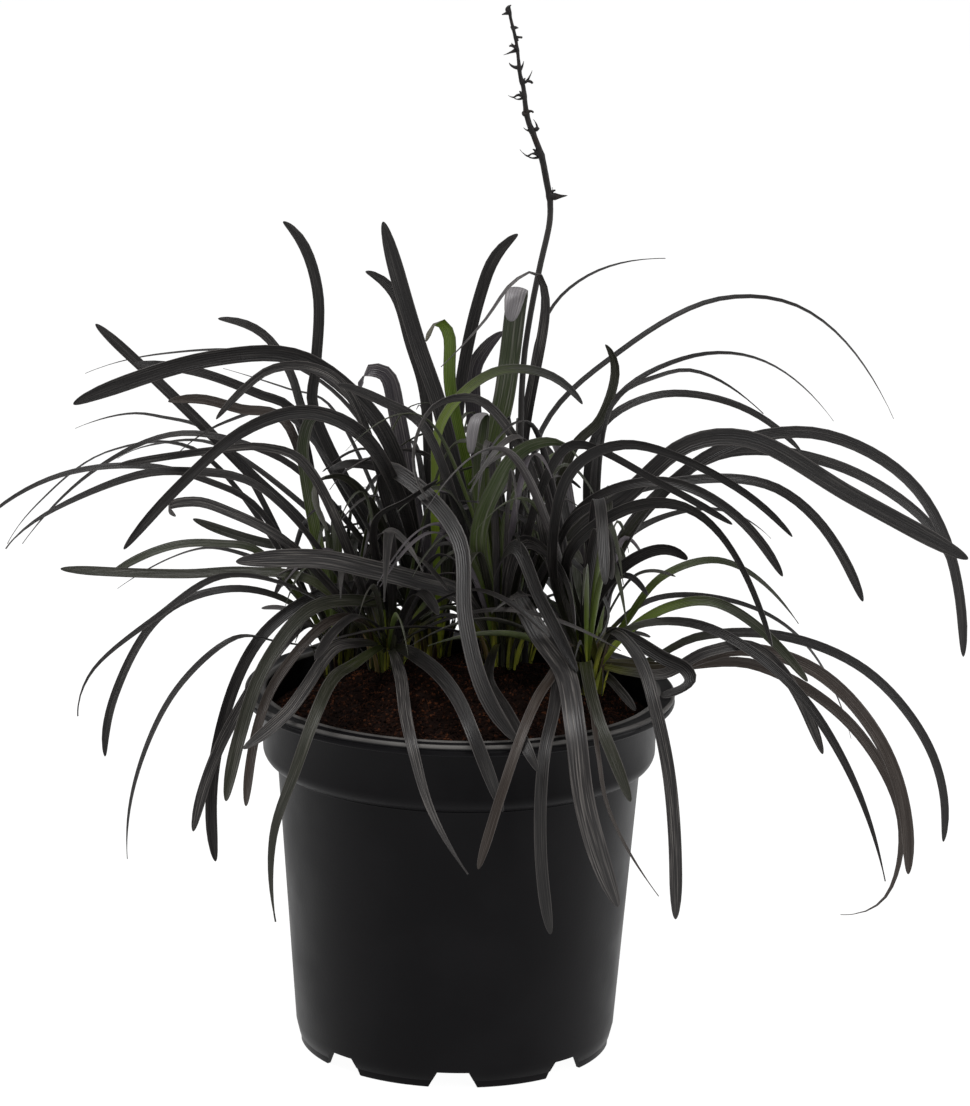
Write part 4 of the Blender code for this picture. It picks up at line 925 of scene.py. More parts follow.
def leaf_rings(line, width, tip, faces, turned, fatter=0.0):
    """The solid's three-sided section at each ring: two edges and the keel under them."""
    shares = solid_shares(line)
    path = spread(line, shares)
    along, across = leaf_frames(path, faces, turned)
    upper = np.cross(across, along)
    half = (width_along(shares, width, tip) + fatter)[:, None] / 2
    thick = LEAF_THICKNESS + fatter
    edges = path + upper * thick / 3
    return np.stack([edges - across * half, edges + across * half, path - upper * thick * 2 / 3], axis=1)


def ring_faces(count):
    """Triangles between rings of three points, facing out, with both ends closed."""
    faces = [(0, 2, 1), (3 * count - 3, 3 * count - 2, 3 * count - 1)]
    for ring in range(count - 1):
        for k in range(3):
            a, b = 3 * ring + k, 3 * ring + (k + 1) % 3
            faces += [(a, b + 3, a + 3), (a, b, b + 3)]
    return faces


def tree_of(rings):
    return BVHTree.FromPolygons(rings.reshape(-1, 3).tolist(), ring_faces(len(rings)))


def box_of(rings):
    return rings.reshape(-1, 3).min(axis=0), rings.reshape(-1, 3).max(axis=0)


# %% [markdown]
# ## Planting the leaves
# Leaves push one another aside as they grow, and the solids of two tufts may not touch. So the leaves are
# planted one at a time. Each takes the free place in its crown that is nearest to where it goes, and then
# bends nearer or further until it is clear of all that stands there. A BVHTree answers quickly whether the
# triangles of two leaves meet.

# %% Where leaves are rooted
CROWN_RADIUS = 8.2
ROOT_SPREAD = 6.4  # the places lie in a circle of this radius
ROOTS = 34
GOLDEN_ANGLE = math.pi * (3 - math.sqrt(5))


def root_places(tuft):
    """Places for leaves over a crown, set out like the seeds of a sunflower."""
    _, crown_x, crown_y = CROWNS[tuft]
    places = []
    for k in range(ROOTS):
        out, turn = ROOT_SPREAD * math.sqrt((k + 0.5) / ROOTS), GOLDEN_ANGLE * k
        places.append(np.array([crown_x + out * math.cos(turn), crown_y + out * math.sin(turn)]))
    return places


def root_points(tuft, place):
    """The first two points of a leaf: its root in the crown, and where it leaves the crown."""
    ground = mix_height(*CROWNS[tuft][1:])
    return np.array([*place, ground - ROOT_DEPTH]), np.array([*place, ground + SHEATH_RISE])


# %% Keeping clear
LEAF_CLEAR = 0.45
GROUND_CLEAR = 0.9
CROWN_MARGIN = 0.6  # a leaf may touch the mix this far inside its crown's edge
RING_STEPS = 7  # points looked at between two rings


def reaches_ground(rings, tuft):
    """Whether a leaf comes too near the pot or the mix, away from its own crown."""
    steps = np.linspace(0, 1, RING_STEPS)[:, None, None, None]
    points = (rings[:-1] * (1 - steps) + rings[1:] * steps).reshape(-1, 3)
    x, y, z = points.T
    radius = np.hypot(x, y)
    _, crown_x, crown_y = CROWNS[tuft]
    outside_crown = np.hypot(x - crown_x, y - crown_y) > CROWN_RADIUS - CROWN_MARGIN
    over_mix = radius < COLLAR_RADIUS - WALL - GROUND_CLEAR
    floor_height = np.where(over_mix, mix_height(x, y) + GROUND_CLEAR, POT_HEIGHT + GROUND_CLEAR)
    return bool((outside_crown & (radius < LIP_RADIUS + GROUND_CLEAR) & (z < floor_height)).any())


# %% Planting
ROOT_LEAN = 0.8  # how far towards the edge of its crown a leaf looks for a place


class Planting:
    """The leaves that are already placed, which the next one keeps clear of."""

    def __init__(self, obstacles):
        self.placed = list(obstacles)
        self.leaves = {tuft: [] for tuft in CROWNS}
        self.roots = {tuft: root_places(tuft) for tuft in CROWNS}

    def take_root(self, tuft, heading):
        """The free place in the crown that is nearest to the side where the leaf goes."""
        _, crown_x, crown_y = CROWNS[tuft]
        side = np.array([crown_x, crown_y]) + ROOT_SPREAD * ROOT_LEAN * heading
        places = self.roots[tuft]
        return places[int(np.argmin([np.linalg.norm(place - side) for place in places]))]

    def is_clear(self, tuft, shape, crossings):
        """Whether a leaf clears all but its own tuft, and crosses at most so many leaves of that."""
        real, fat = leaf_rings(*shape), leaf_rings(*shape, fatter=2 * LEAF_CLEAR)
        if reaches_ground(real, tuft):
            return False
        (low, high), tree, fat_tree = box_of(fat), tree_of(real), tree_of(fat)
        for owner, its_low, its_high, its_tree in self.placed:
            if (low > its_high).any() or (high < its_low).any():
                continue
            if owner != tuft and fat_tree.overlap(its_tree):
                return False
            if owner == tuft and tree.overlap(its_tree):
                crossings -= 1
        return crossings >= 0

    def add(self, tuft, shape, shade, place):
        rings = leaf_rings(*shape)
        self.placed.append((tuft, *box_of(rings), tree_of(rings)))
        self.leaves[tuft].append((shape, shade))
        self.roots[tuft] = [other for other in self.roots[tuft] if other is not place]


# %% Planting the drawn leaves
LEAF_WIDTH = 4.0  # a leaf drawn narrower than this is one of this width, turned away
LEAF_TURN = 0.92
BEND_STEPS = [0] + [sign * step for step in range(3, 46, 3) for sign in (-1, 1)]
BEND_LENGTH = 0.3
DRAWN_CROSSINGS = (1, 3, 30)  # how many leaves of its own tuft it may cross, at each try


def drawn_line(plan, root, sheath, bend):
    """The smooth line of a drawn leaf, bent by this much along the lines of sight."""
    seen = np.vstack([drawn_at(sheath), [point[:2] for point in plan.drawn]])
    shares = np.concatenate([[0], np.cumsum(np.linalg.norm(np.diff(seen, axis=0), axis=1))])
    shares /= shares[-1]
    known = [(0, sheath[1])]
    known += [(share, point[2]) for share, point in zip(shares[1:], plan.drawn) if len(point) > 2]
    if len(plan.drawn[-1]) == 2:
        known.append((1, plan.depth))
    depths = np.interp(shares, *zip(*known)) + bend * smoothstep(shares / BEND_LENGTH)
    points = [sight(*place, depth) for place, depth in zip(seen[1:], depths[1:])]
    return smooth_line([root, sheath, *points])


def plant_drawn(planting, plan):
    """Places a drawn leaf at the first bend that is clear."""
    middle = plan.drawn[len(plan.drawn) // 2]
    heading = unit(sight(middle[0], middle[1], plan.depth)[:2] - CROWNS[plan.tuft][1:])
    place = planting.take_root(plan.tuft, heading)
    root, sheath = root_points(plan.tuft, place)
    true_width = max(plan.width, LEAF_WIDTH)
    turned = math.acos(plan.width / true_width) * LEAF_TURN
    for crossings in DRAWN_CROSSINGS:
        for bend in BEND_STEPS:
            line = drawn_line(plan, root, sheath, bend)
            shape = (line, true_width, plan.tip, -AHEAD, turned)
            if planting.is_clear(plan.tuft, shape, crossings):
                return planting.add(plan.tuft, shape, plan.shade, place)


# %% The heart of the plant
# The middle and half sizes of the heart as drawn, and the limits of what lies low or behind the pot.
HEART_UP = 172.0
HEART_HALF_WIDTH, HEART_HALF_HEIGHT = 72.0, 88.0
HEART_FOOT = 152.0
HEART_FRONT = 40.0
SKIRT_HALF_WIDTH = 70.0
SKIRT_TOP = 158.0
SKIRT_DEPTH = 60.0
BACK_REACH = 112.0


def in_heart(line):
    """Whether a line stays in the plant's heart, or behind the pot, as drawn from the front."""
    across, up = drawn_at(line).T
    depth = line[:, 1]
    heart = (across / HEART_HALF_WIDTH) ** 2 + ((up - HEART_UP) / HEART_HALF_HEIGHT) ** 2 < 1
    skirt = (np.abs(across) < SKIRT_HALF_WIDTH) & (up < SKIRT_TOP) & (depth > SKIRT_DEPTH)
    past_root = np.arange(len(line)) > len(line) // 3
    low = (up < HEART_FOOT) & (depth < HEART_FRONT) & past_root
    return bool(((heart & ~low) | skirt).all()) and depth.max() < BACK_REACH


# %% Planting the short leaves of the heart
SEED = 5
FILLERS = 15
FILLER_TRIES = 80
FILLER_REACH = (25.0, 120.0)
FILLER_RISE = (14.0, 122.0)
FILLER_ARCH = [(0.22, 0.62), (0.55, 1.0)]  # two points of the arch, as shares of its reach and rise
FILLER_TIP = (0.65, 1.0)
FILLER_TIPS = (BLUNT, BLUNT, FINE)
FILLER_WIDTH = (3.4, 5.4)
FILLER_TURN = 0.5
FILLER_CROSSINGS = 2
FILLER_SHADES = ["dark", "grey", "olive", "green", "grey", "green", "lilac"]
SHADED_FROM = -40.0  # the short leaves that end nearer than this are all dark


def filler_line(draw, take_root, tuft, reaches=FILLER_REACH, rises=FILLER_RISE):
    """A leaf that rises from its crown and arches over, in a drawn direction, and the place of its root."""
    heading = draw.uniform(0, math.tau)
    reach = draw.uniform(*reaches)
    rise = draw.uniform(*rises)
    out = np.array([math.cos(heading), math.sin(heading), 0])
    place = take_root(tuft, out[:2])
    root, sheath = root_points(tuft, place)
    arch = [sheath + out * away * reach + UPRIGHT * up * rise for away, up in FILLER_ARCH]
    tip = sheath + out * reach + UPRIGHT * rise * draw.uniform(*FILLER_TIP)
    return smooth_line([root, sheath, *arch, tip]), place


def plant_fillers(planting, draw):
    """Plants up to FILLERS short leaves in each crown. One that isn't clear is drawn again a few times."""
    shades = random.Random(SEED)
    for _ in range(FILLERS):
        for tuft in CROWNS:
            for _ in range(FILLER_TRIES):
                line, place = filler_line(draw, planting.take_root, tuft)
                width, tip = draw.uniform(*FILLER_WIDTH), draw.choice(FILLER_TIPS)
                shape = (line, width, tip, UPRIGHT, draw.uniform(0, FILLER_TURN))
                if in_heart(line) and planting.is_clear(tuft, shape, FILLER_CROSSINGS):
                    shade = shades.choice(FILLER_SHADES)
                    planting.add(tuft, shape, "dark" if line[-1, 1] < SHADED_FROM else shade, place)
                    break


# %% What the leaves keep clear of
HOLE_DEPTH = 14.0
CROWN_RISE = 5.5
CROWN_GIRTH = 1.3  # leaves of other tufts keep clear of this many crown radii
STEM_ROOM = 2  # and of this many radii of the stem
SCAPE_PLACE = (26.0, 33.0)
SCAPE_RADIUS = 1.15
SCAPE_FOOT = 12.0  # the stem leaves the mix upright, for this height
SCAPE_RISES = [
    (25, 230), (26, 270), (29, 292), (33, 312), (36.6, 333), (36.4, 340), (33.5, 354), (28.5, 368),
    (26.6, 381), (24, 395), (21.8, 407), (20.6, 415),
]


def scape_line():
    """The middle line of the stem's solid, from the foot of its hole."""
    x, y = SCAPE_PLACE
    ground = mix_height(x, y)
    stem = [np.array([x, y, ground - HOLE_DEPTH]), np.array([x, y, ground + SCAPE_FOOT])]
    return smooth_line(stem + [sight(across, up, y) for across, up in SCAPE_RISES], samples=2)


def obstacle(owner, line, radius):
    """A three-sided upright prism round a line, and the tuft that owns it."""
    angles = [math.tau * k / 3 for k in range(3)]
    corners = [radius * np.array([math.cos(angle), math.sin(angle), 0]) for angle in angles]
    rings = np.array([[point + corner for corner in corners] for point in line])
    return owner, *box_of(rings), tree_of(rings)


def crown_obstacle(tuft):
    """Room round a crown, for its sheaths."""
    _, x, y = CROWNS[tuft]
    ground = mix_height(x, y)
    line = np.array([[x, y, ground], [x, y, ground + CROWN_RISE + GAP]])
    return obstacle(tuft, line, CROWN_GIRTH * CROWN_RADIUS)


# %% Plant the leaves
stem_obstacle = obstacle(None, scape_line(), STEM_ROOM * SCAPE_RADIUS)
planting = Planting([stem_obstacle] + [crown_obstacle(tuft) for tuft in CROWNS])
for plan in LEAVES:
    plant_drawn(planting, plan)
plant_fillers(planting, random.Random(SEED))
print({CROWNS[tuft][0]: len(leaves) for tuft, leaves in planting.leaves.items()})

# %% [markdown]
# ## Leaves and sheaths too small for the solids
# Between the broad leaves stand slender young ones, and short or broken ones close the gaps low down. The
# pointed bases of old leaves wrap each crown like scales. They follow the same rules as the short leaves, so
# they are planted the same way. The thin leaves stay in the heart, where they change no outline.

# %% Slender leaves
SLENDER = 14
SLENDER_TRIES = 40
SLENDER_WIDTH = (2.0, 3.6)
SLENDER_DROP = 18.0  # from its highest point to its tip
SLENDER_CROSSINGS = 4
SLENDER_ROOTS = (0.5, 0.8)  # from this far out in the crown to this far past its places
YOUNG_TURN = 1.2  # young leaves are turned by up to this angle


def loose_root(draw, nearest, past):
    """A root anywhere on a crown's side, where a solid's leaf takes one of a few places."""

    def anywhere(tuft, heading):
        return np.array(CROWNS[tuft][1:]) + heading * draw.uniform(nearest, ROOT_SPREAD + past)

    return anywhere


def plant_slender(draw):
    """Thin leaves among the others. They stay in the heart, so they change no outline."""
    take_root = loose_root(draw, *SLENDER_ROOTS)
    for tuft in CROWNS:
        for _ in range(SLENDER):
            for _ in range(SLENDER_TRIES):
                line, place = filler_line(draw, take_root, tuft)
                shape = (line, draw.uniform(*SLENDER_WIDTH), FINE, UPRIGHT, draw.uniform(0, YOUNG_TURN))
                hangs = line[:, 2].max() - line[-1, 2] > SLENDER_DROP
                if not hangs and in_heart(line) and planting.is_clear(tuft, shape, SLENDER_CROSSINGS):
                    planting.add(tuft, shape, draw.choice(FILLER_SHADES), place)
                    break


plant_slender(random.Random(SEED + 1))
print(sum(len(leaves) for leaves in planting.leaves.values()), "leaves with the slender ones")


# %% Short leaves low down between the crowns
BACK_CROWNS = "DEFG"
LOW_LEAVES = 14
LOW_REACH = (6.0, 34.0)
LOW_RISE = (12.0, 60.0)
LOW_WIDTH = (2.0, 3.8)
LOW_CROSSINGS = 6
LOW_ROOTS = (1.0, 1.0)


def plant_low(draw):
    """Young and broken leaves of the crowns at the back, which close the gaps between the stalks."""
    take_root = loose_root(draw, *LOW_ROOTS)
    for tuft in BACK_CROWNS:
        for _ in range(LOW_LEAVES):
            line, place = filler_line(draw, take_root, tuft, LOW_REACH, LOW_RISE)
            width, tip = draw.uniform(*LOW_WIDTH), draw.choice(FILLER_TIPS)
            shape = (line, width, tip, UPRIGHT, draw.uniform(0, YOUNG_TURN))
            if planting.is_clear(tuft, shape, LOW_CROSSINGS):
                planting.add(tuft, shape, draw.choice(FILLER_SHADES), place)


plant_low(random.Random(SEED + 2))
print(sum(len(leaves) for leaves in planting.leaves.values()), "leaves with the low ones")

# %% Old sheaths round each crown
SHEATHS = 32
SHEATH_JITTER = 0.8  # of the space between two sheaths
SHEATH_SINK = 3.5
SHEATH_OUT = (4.0, 7.2)
SHEATH_TALL = (11, 26)
SHEATH_LEAN = (0.5, 7)
SHEATH_WIDTH = (1.6, 3.2)
SHEATH_TURN = (0, 0.4)
SHEATH_TIP = (0.1, 0.8)
SHEATH_SHADES = ["papery", "papery", "papery", "straw", "sheath", "olive", "dark"]


def old_sheaths(tuft, draw):
    """The short pointed bases of old leaves, which wrap the crown like scales."""
    _, x, y = CROWNS[tuft]
    crown = np.array([x, y, mix_height(x, y) - SHEATH_SINK])
    for k in range(SHEATHS):
        turn = math.tau * (k + draw.uniform(0, SHEATH_JITTER)) / SHEATHS
        out = np.array([math.cos(turn), math.sin(turn), 0.0])
        foot = crown + out * draw.uniform(*SHEATH_OUT)
        rise = draw.uniform(*SHEATH_TALL)
        lean = draw.uniform(*SHEATH_LEAN)
        middle = foot + UPRIGHT * rise * 0.5 + out * lean * 0.3
        line = smooth_line([foot, middle, foot + UPRIGHT * rise + out * lean])
        shape = (line, draw.uniform(*SHEATH_WIDTH), SHEATH_TIP, -out, draw.uniform(*SHEATH_TURN))
        planting.leaves[tuft].append((shape, draw.choice(SHEATH_SHADES)))


for tuft in CROWNS:
    old_sheaths(tuft, random.Random(tuft + "sheaths"))
print(SHEATHS, "sheaths round each crown")

# %% [markdown]
# ## The leaves, as blades
# A blade is a strap with a shallow channel along its upper side and a thin rounded edge. Every blade is the
# same rule applied to another line, which is what Geometry Nodes are good at: one tree sweeps a
# section along all the lines of a tuft at once. The lines carry the width, the way across and the way up at
# each point, and the tree sets each point of the section from them. The blades also keep where a point
# is, across and along the leaf, for the material's ribs and colours.

# %% The tree that sweeps the blades
BLADE_INPUTS = {"Sides": 16}


def blade_tree(material):
    """Sweeps a circle along each line, and flattens it into a strap with a channel."""
    tree, given = geometry_tree("blades", BLADE_INPUTS)
    lines = add(tree, "GeometryNodeMeshToCurve", {"Mesh": given["Geometry"]}).outputs[0]
    lines = store(tree, lines, "centre", add(tree, "GeometryNodeInputPosition").outputs[0], "FLOAT_VECTOR")
    skin = swept(tree, lines, turning_circle(tree, "round", given["Sides"], MM))
    turn = named(tree, "round")
    across = maths(tree, "COSINE", turn)
    lift = maths(tree, "SINE", turn)
    half, thick, channel = (named(tree, name) for name in ("half_width", "thick", "channel"))
    centre, way_across, way_up = (
        named(tree, name, "FLOAT_VECTOR") for name in ("centre", "way_across", "way_up")
    )
    hollow = maths(tree, "SUBTRACT", maths(tree, "MULTIPLY", across, across), 1.0)
    height = maths(tree, "MULTIPLY_ADD", hollow, channel, maths(tree, "MULTIPLY", lift, thick))
    sideways = vector_maths(tree, "SCALE", way_across, maths(tree, "MULTIPLY", half, across))
    upward = vector_maths(tree, "SCALE", way_up, height)
    spot = vector_maths(tree, "ADD", centre, vector_maths(tree, "ADD", sideways, upward))
    skin = add(tree, "GeometryNodeSetPosition", {"Geometry": skin, "Position": spot}).outputs[0]
    skin = store(tree, skin, "across", across)
    skin = store(tree, skin, "under", remap(tree, lift, 0.15, -0.15))
    finish_tree(tree, skin, material)
    return tree


# %% The rings of a blade
BLADE_RINGS = 44
TIP_RINGS = 8


def fine_frames(line, faces, turned, shares):
    """The path at fine steps, and the ways across and up, eased between the solid's own rings."""
    coarse = solid_shares(line)
    _, across = leaf_frames(spread(line, coarse), faces, turned)
    path = spread(line, shares)
    along = np.gradient(path, axis=0)
    along /= np.linalg.norm(along, axis=1)[:, None]
    across = np.column_stack([np.interp(shares, coarse, across[:, k]) for k in range(3)])
    across -= along * (across * along).sum(axis=1)[:, None]
    across /= np.linalg.norm(across, axis=1)[:, None]
    return path, across, np.cross(across, along)


def blade_shares():
    """Where a blade has its rings, closer together near the tip."""
    body = np.linspace(0, 1, BLADE_RINGS, endpoint=False)
    return np.unique(np.concatenate([body, 1 - (1 - body[-1]) * np.linspace(0.9, 0, TIP_RINGS) ** 2]))


print("a blade has", len(blade_shares()), "rings")


# %% How wide a blade is, and all that its line carries
TIP_LENGTH = 3.6  # of a blunt tip, in widths
LONG_TIP = (0.5, 0.85)  # of a narrow leaf
HAIR_TURN = 1.0  # a narrow leaf turned further is seen as a hair, and keeps its fine tip
FINE_LEAST, BLUNT_LEAST = 0.14, 0.03  # the width at the very tip, as a share of the full width
BLADE_THICK = 0.27
FULL_THICK_FROM = 1.6  # a blade is thinner where it is narrower than this
CHANNEL = 0.10
CHANNEL_SINK = 0.4  # of the solid's thickness


def blade_width(line, width, tip, turned, shares):
    """The blade's width at each ring, with a tip that is finer than the solid's."""
    least = FINE_LEAST if tip == FINE else BLUNT_LEAST
    if tip != FINE:
        tip = (max(tip[0], 1 - TIP_LENGTH * width / length_of(line)), tip[1])
    elif turned < HAIR_TURN:
        tip = LONG_TIP
    return width_along(shares, width, tip, least)


def blade_numbers(planted, shares, draw):
    """The middle line of one blade, and what the tree and the material read at each of its points."""
    (line, width, tip, faces, turned), shade = planted
    path, across, upper = fine_frames(line, faces, turned, shares)
    wide = blade_width(line, width, tip, turned, shares)
    upper_colour, reach, under_colour, foot_colour, streak_and_sheen = SHADES[shade]
    own = draw.random()
    brighter = draw.uniform(0.85, 1.15)
    one = np.ones(len(shares))
    channel = LEAF_THICKNESS * CHANNEL_SINK + CHANNEL * width * 0.5
    return path + upper * LEAF_THICKNESS / 3, {
        "half_width": wide / 2 * MM,
        "thick": BLADE_THICK * np.minimum(1, wide / FULL_THICK_FROM) * MM,
        "channel": channel * np.minimum(1, wide / width) * MM,
        "way_across": across,
        "way_up": upper,
        "along": shares,
        "distance": shares * length_of(line),
        "reach": one * reach * draw.uniform(0.8, 1.2),
        "chance": one * own,
        "streak_and_sheen": one * streak_and_sheen,
        "blade_colour": np.outer(one, colour(*upper_colour)[:3]) * brighter,
        "under_colour": np.outer(one, colour(*under_colour)[:3]) * brighter,
        "foot_colour": np.outer(one, colour(*foot_colour)[:3]) * draw.uniform(0.5, 1.3),
    }


def blade_lines(tuft, leaves):
    """One mesh of lines for all the blades of a tuft."""
    draw = random.Random(tuft)
    blades = [blade_numbers(planted, blade_shares(), draw) for planted in leaves]
    kept = {key: [numbers[key] for _, numbers in blades] for key in blades[0][1]}
    return path_mesh(tuft + "_lines", [path for path, _ in blades], **kept)


# %% [markdown]
# ## The colours of the leaves
# A leaf is green at its foot and almost black from there on, with fine ribs and thin pale streaks along it.
# The streaks are partly its own and partly a painted sheen, and near the crown the green of some leaves turns
# yellow, partly its own colour and partly a painted glow of light through the leaf. Its underside is paler,
# and its pale edge is partly a thin margin and partly a painted highlight. Some leaves are greyer, partly a
# painted sheen, some stay greener and old sheaths are brown. One material serves them all: what differs from
# leaf to leaf comes from the numbers and colours on its line, and the ribs and streaks from where a point is
# on its leaf.

# %% Shades
# The blade's colour, how far up the foot's green goes, the underside, the foot and how much pale streak,
# partly a painted sheen, it has.
# The grey and lilac shades are partly the leaves' own tone and partly a painted sheen: paler blades for
# leaves that catch the light.
SHADES = {
    "dark": ((22, 20, 20), 0.28, (38, 36, 37), (46, 50, 26), 0.10),
    "grey": ((40, 38, 38), 0.26, (56, 53, 54), (54, 57, 36), 0.42),
    "olive": ((35, 36, 26), 0.50, (48, 48, 40), (66, 74, 32), 0.18),
    "green": ((36, 40, 26), 0.70, (58, 64, 44), (92, 110, 36), 0.22),
    "turning": ((58, 58, 58), 1.15, (92, 90, 92), (150, 176, 50), 0.26),
    "striped": ((66, 76, 50), 0.85, (66, 74, 52), (84, 98, 44), 0.42),
    "brown": ((42, 34, 29), 0.25, (64, 53, 46), (60, 56, 32), 0.16),
    "lilac": ((58, 54, 58), 0.25, (104, 98, 104), (60, 60, 42), 0.30),
    "folded": ((42, 48, 32), 0.80, (106, 103, 105), (84, 100, 36), 0.30),
    "lime": ((84, 104, 32), 0.60, (84, 82, 70), (96, 118, 36), 0.08),
    "papery": ((50, 37, 26), 0.90, (60, 45, 31), (66, 46, 30), 0.10),
    "straw": ((92, 78, 46), 0.90, (100, 84, 52), (112, 96, 54), 0.15),
    "sheath": ((78, 92, 32), 0.95, (88, 100, 40), (136, 142, 58), 0.15),
}
print(len(SHADES), "shades")


# %% The blade's material
RIBS = 7
STREAK_WIDTH, STREAK_LENGTH = 3.5, 0.02  # how the noise is stretched, across and along
FOOT_LIGHT = (32.0, 7.0)  # the yellow-green, partly a painted glow, fades in from the first to the second distance from the root
OWN_NOISE = 90.0  # how far apart two leaves are in the noise, so that no two look the same
# The dark of the furrows, and the pale of the streaks, which is partly the leaf's own colour and partly a
# painted sheen.
FURROW_DARK, STREAK_AND_SHEEN_PALE = (14, 13, 12), (138, 133, 128)
# A yellow-green near the root that is partly a painted glow, and a pale edge that is partly a painted
# highlight.
FOOT_YELLOW_AND_GLOW, EDGE_PALE_AND_HIGHLIGHT = (176, 180, 62), (84, 80, 78)


def blade_patterns(tree):
    """Long streaks, broad patches and ribs, from where a point is on its leaf."""
    across = read(tree, "across")
    lengthwise = maths(tree, "MULTIPLY", read(tree, "distance"), STREAK_LENGTH)
    sideways = maths(tree, "MULTIPLY", across, STREAK_WIDTH)
    own = maths(tree, "MULTIPLY", read(tree, "chance"), OWN_NOISE)
    spot = add(tree, "ShaderNodeCombineXYZ", {0: sideways, 1: lengthwise, 2: own}).outputs[0]
    ribs = maths(tree, "SINE", maths(tree, "MULTIPLY", across, math.pi * RIBS))
    return noise_at(tree, spot, 2.2, 4.0), noise_at(tree, spot, 0.6, 2.0), ribs


def leaf_green(tree, streak):
    """The foot's colour, which turns into the blade's, above and below."""
    foot = read(tree, "foot_colour", "Color")
    edge = maths(tree, "MULTIPLY_ADD", maths(tree, "SUBTRACT", streak, 0.5), 0.35, read(tree, "along"))
    share = remap(tree, maths(tree, "DIVIDE", edge, read(tree, "reach")), 0.15, 1.0)
    upper = blend_colour(tree, share, foot, read(tree, "blade_colour", "Color"))
    lower = blend_colour(tree, share, foot, read(tree, "under_colour", "Color"))
    return blend_colour(tree, read(tree, "under"), upper, lower)


def blade_material():
    """Near-black leaf: green foot with a painted glow near the crown, fine ribs, streaks that are partly a
    painted sheen, a pale edge that is partly a painted highlight, and a paler underside.
    """
    made, tree, surface = new_material("black_leaf", 0.4, 0.25)
    streak, wide, ribs = blade_patterns(tree)
    shade = leaf_green(tree, streak)
    streaks = maths(tree, "MULTIPLY_ADD", streak, 0.7, maths(tree, "MULTIPLY_ADD", wide, 0.5, 0.4))
    streaks = add(tree, "ShaderNodeCombineXYZ", {0: streaks, 1: streaks, 2: streaks}).outputs[0]
    shade = blend_colour(tree, 1.0, shade, streaks, "MULTIPLY")
    shade = blend_colour(tree, remap(tree, ribs, 0.1, -0.8, 0.0, 0.26), shade, colour(*FURROW_DARK))
    # Pale streaks along the ribs: partly the leaf's own streaks, partly a painted sheen.
    pale = maths(tree, "MULTIPLY", remap(tree, streak, 0.46, 0.68), remap(tree, ribs, -0.9, 0.7, 0.45, 1.0))
    pale = maths(tree, "MULTIPLY", pale, read(tree, "streak_and_sheen"))
    shade = blend_colour(tree, pale, shade, colour(*STREAK_AND_SHEEN_PALE))
    # Near the root a yellow-green: partly the leaf's own colour, partly a painted glow of light shining
    # through it.
    bright = remap(tree, read(tree, "chance"), 0.42, 0.9, 0.0, 0.95)
    low = maths(tree, "MULTIPLY", remap(tree, read(tree, "distance"), *FOOT_LIGHT), bright)
    low = maths(tree, "MULTIPLY", low, remap(tree, streak, 0.35, 0.6, 0.15, 1.0))
    shade = blend_colour(tree, low, shade, colour(*FOOT_YELLOW_AND_GLOW))
    # A pale edge: partly a thin pale margin, partly a painted highlight where the rounded edge catches the
    # light.
    edge = remap(tree, maths(tree, "ABSOLUTE", read(tree, "across")), 0.84, 0.97)
    shade = blend_colour(tree, maths(tree, "MULTIPLY", edge, 0.55), shade, colour(*EDGE_PALE_AND_HIGHLIGHT))
    tree.links.new(shade, surface.inputs["Base Color"])
    tree.links.new(maths(tree, "MULTIPLY_ADD", wide, 0.2, 0.30), surface.inputs["Roughness"])
    height = maths(tree, "MULTIPLY_ADD", streak, 1.2, maths(tree, "MULTIPLY", ribs, 0.35))
    bump(tree, surface, height, 0.5, 0.00025)
    return made


# %% Sweep the blades of each tuft
sweep_blades = blade_tree(blade_material())
for tuft, leaves in planting.leaves.items():
    name = CROWNS[tuft][0]
    piece = grown("blades_" + name, blade_lines(tuft, leaves), sweep_blades, BLADE_INPUTS)
    belongs(piece, "black_leaf", name)

# %% [markdown]
# ## The flower stem
# The stem has finished flowering. It is dark grey below, and nearly black and shrivelled where it flowered.
# At each of its joints sit the remains of a bract, a stalk or a pod. All of them are tubes that taper, so one
# tree sweeps a circle along every line, and the radius at each point comes from the line. A little noise on
# the surface gives the shrivelled look.

# %% The stem as it stands
# Its middle line, then its half thickness at some heights, then the joints where it swells, all as drawn.
STEM_RISES = [
    (25.0, 230.0), (26.0, 270.0), (29.0, 292.0), (33.0, 312.0), (36.2, 326.0), (36.9, 331.7),
    (36.9, 335.1), (36.8, 337.7), (36.4, 340.2), (35.7, 343.6), (34.9, 347.9), (34.1, 352.1),
    (33.5, 354.7), (32.7, 357.2), (31.7, 359.8), (30.7, 362.3), (29.8, 364.9), (28.7, 367.4),
    (27.9, 370.0), (27.3, 372.5), (27.0, 375.1), (26.8, 376.8), (26.5, 379.4), (26.1, 382.8),
    (25.4, 385.3), (24.8, 387.9), (24.5, 390.4), (24.2, 393.4), (23.9, 396.4), (23.5, 399.3),
    (23.1, 401.9), (22.6, 404.0), (22.0, 406.5), (21.3, 409.1), (20.9, 411.2), (20.7, 412.9),
    (20.4, 414.6),
]
STEM_GIRTH = [
    (150, 1.25), (333, 1.2), (347, 1.33), (362, 1.2), (372, 1.1), (377, 0.97), (386, 0.84), (395, 0.67),
    (416, 0.6),
]
JOINT_SWELL = 0.22
JOINT_LENGTH = 1.1
JOINTS = [339, 355.5, 365.2, 372.4, 379.4, 385, 390.2, 397.8, 402.6, 406.2, 412.6]
print(len(JOINTS), "joints on the stem")

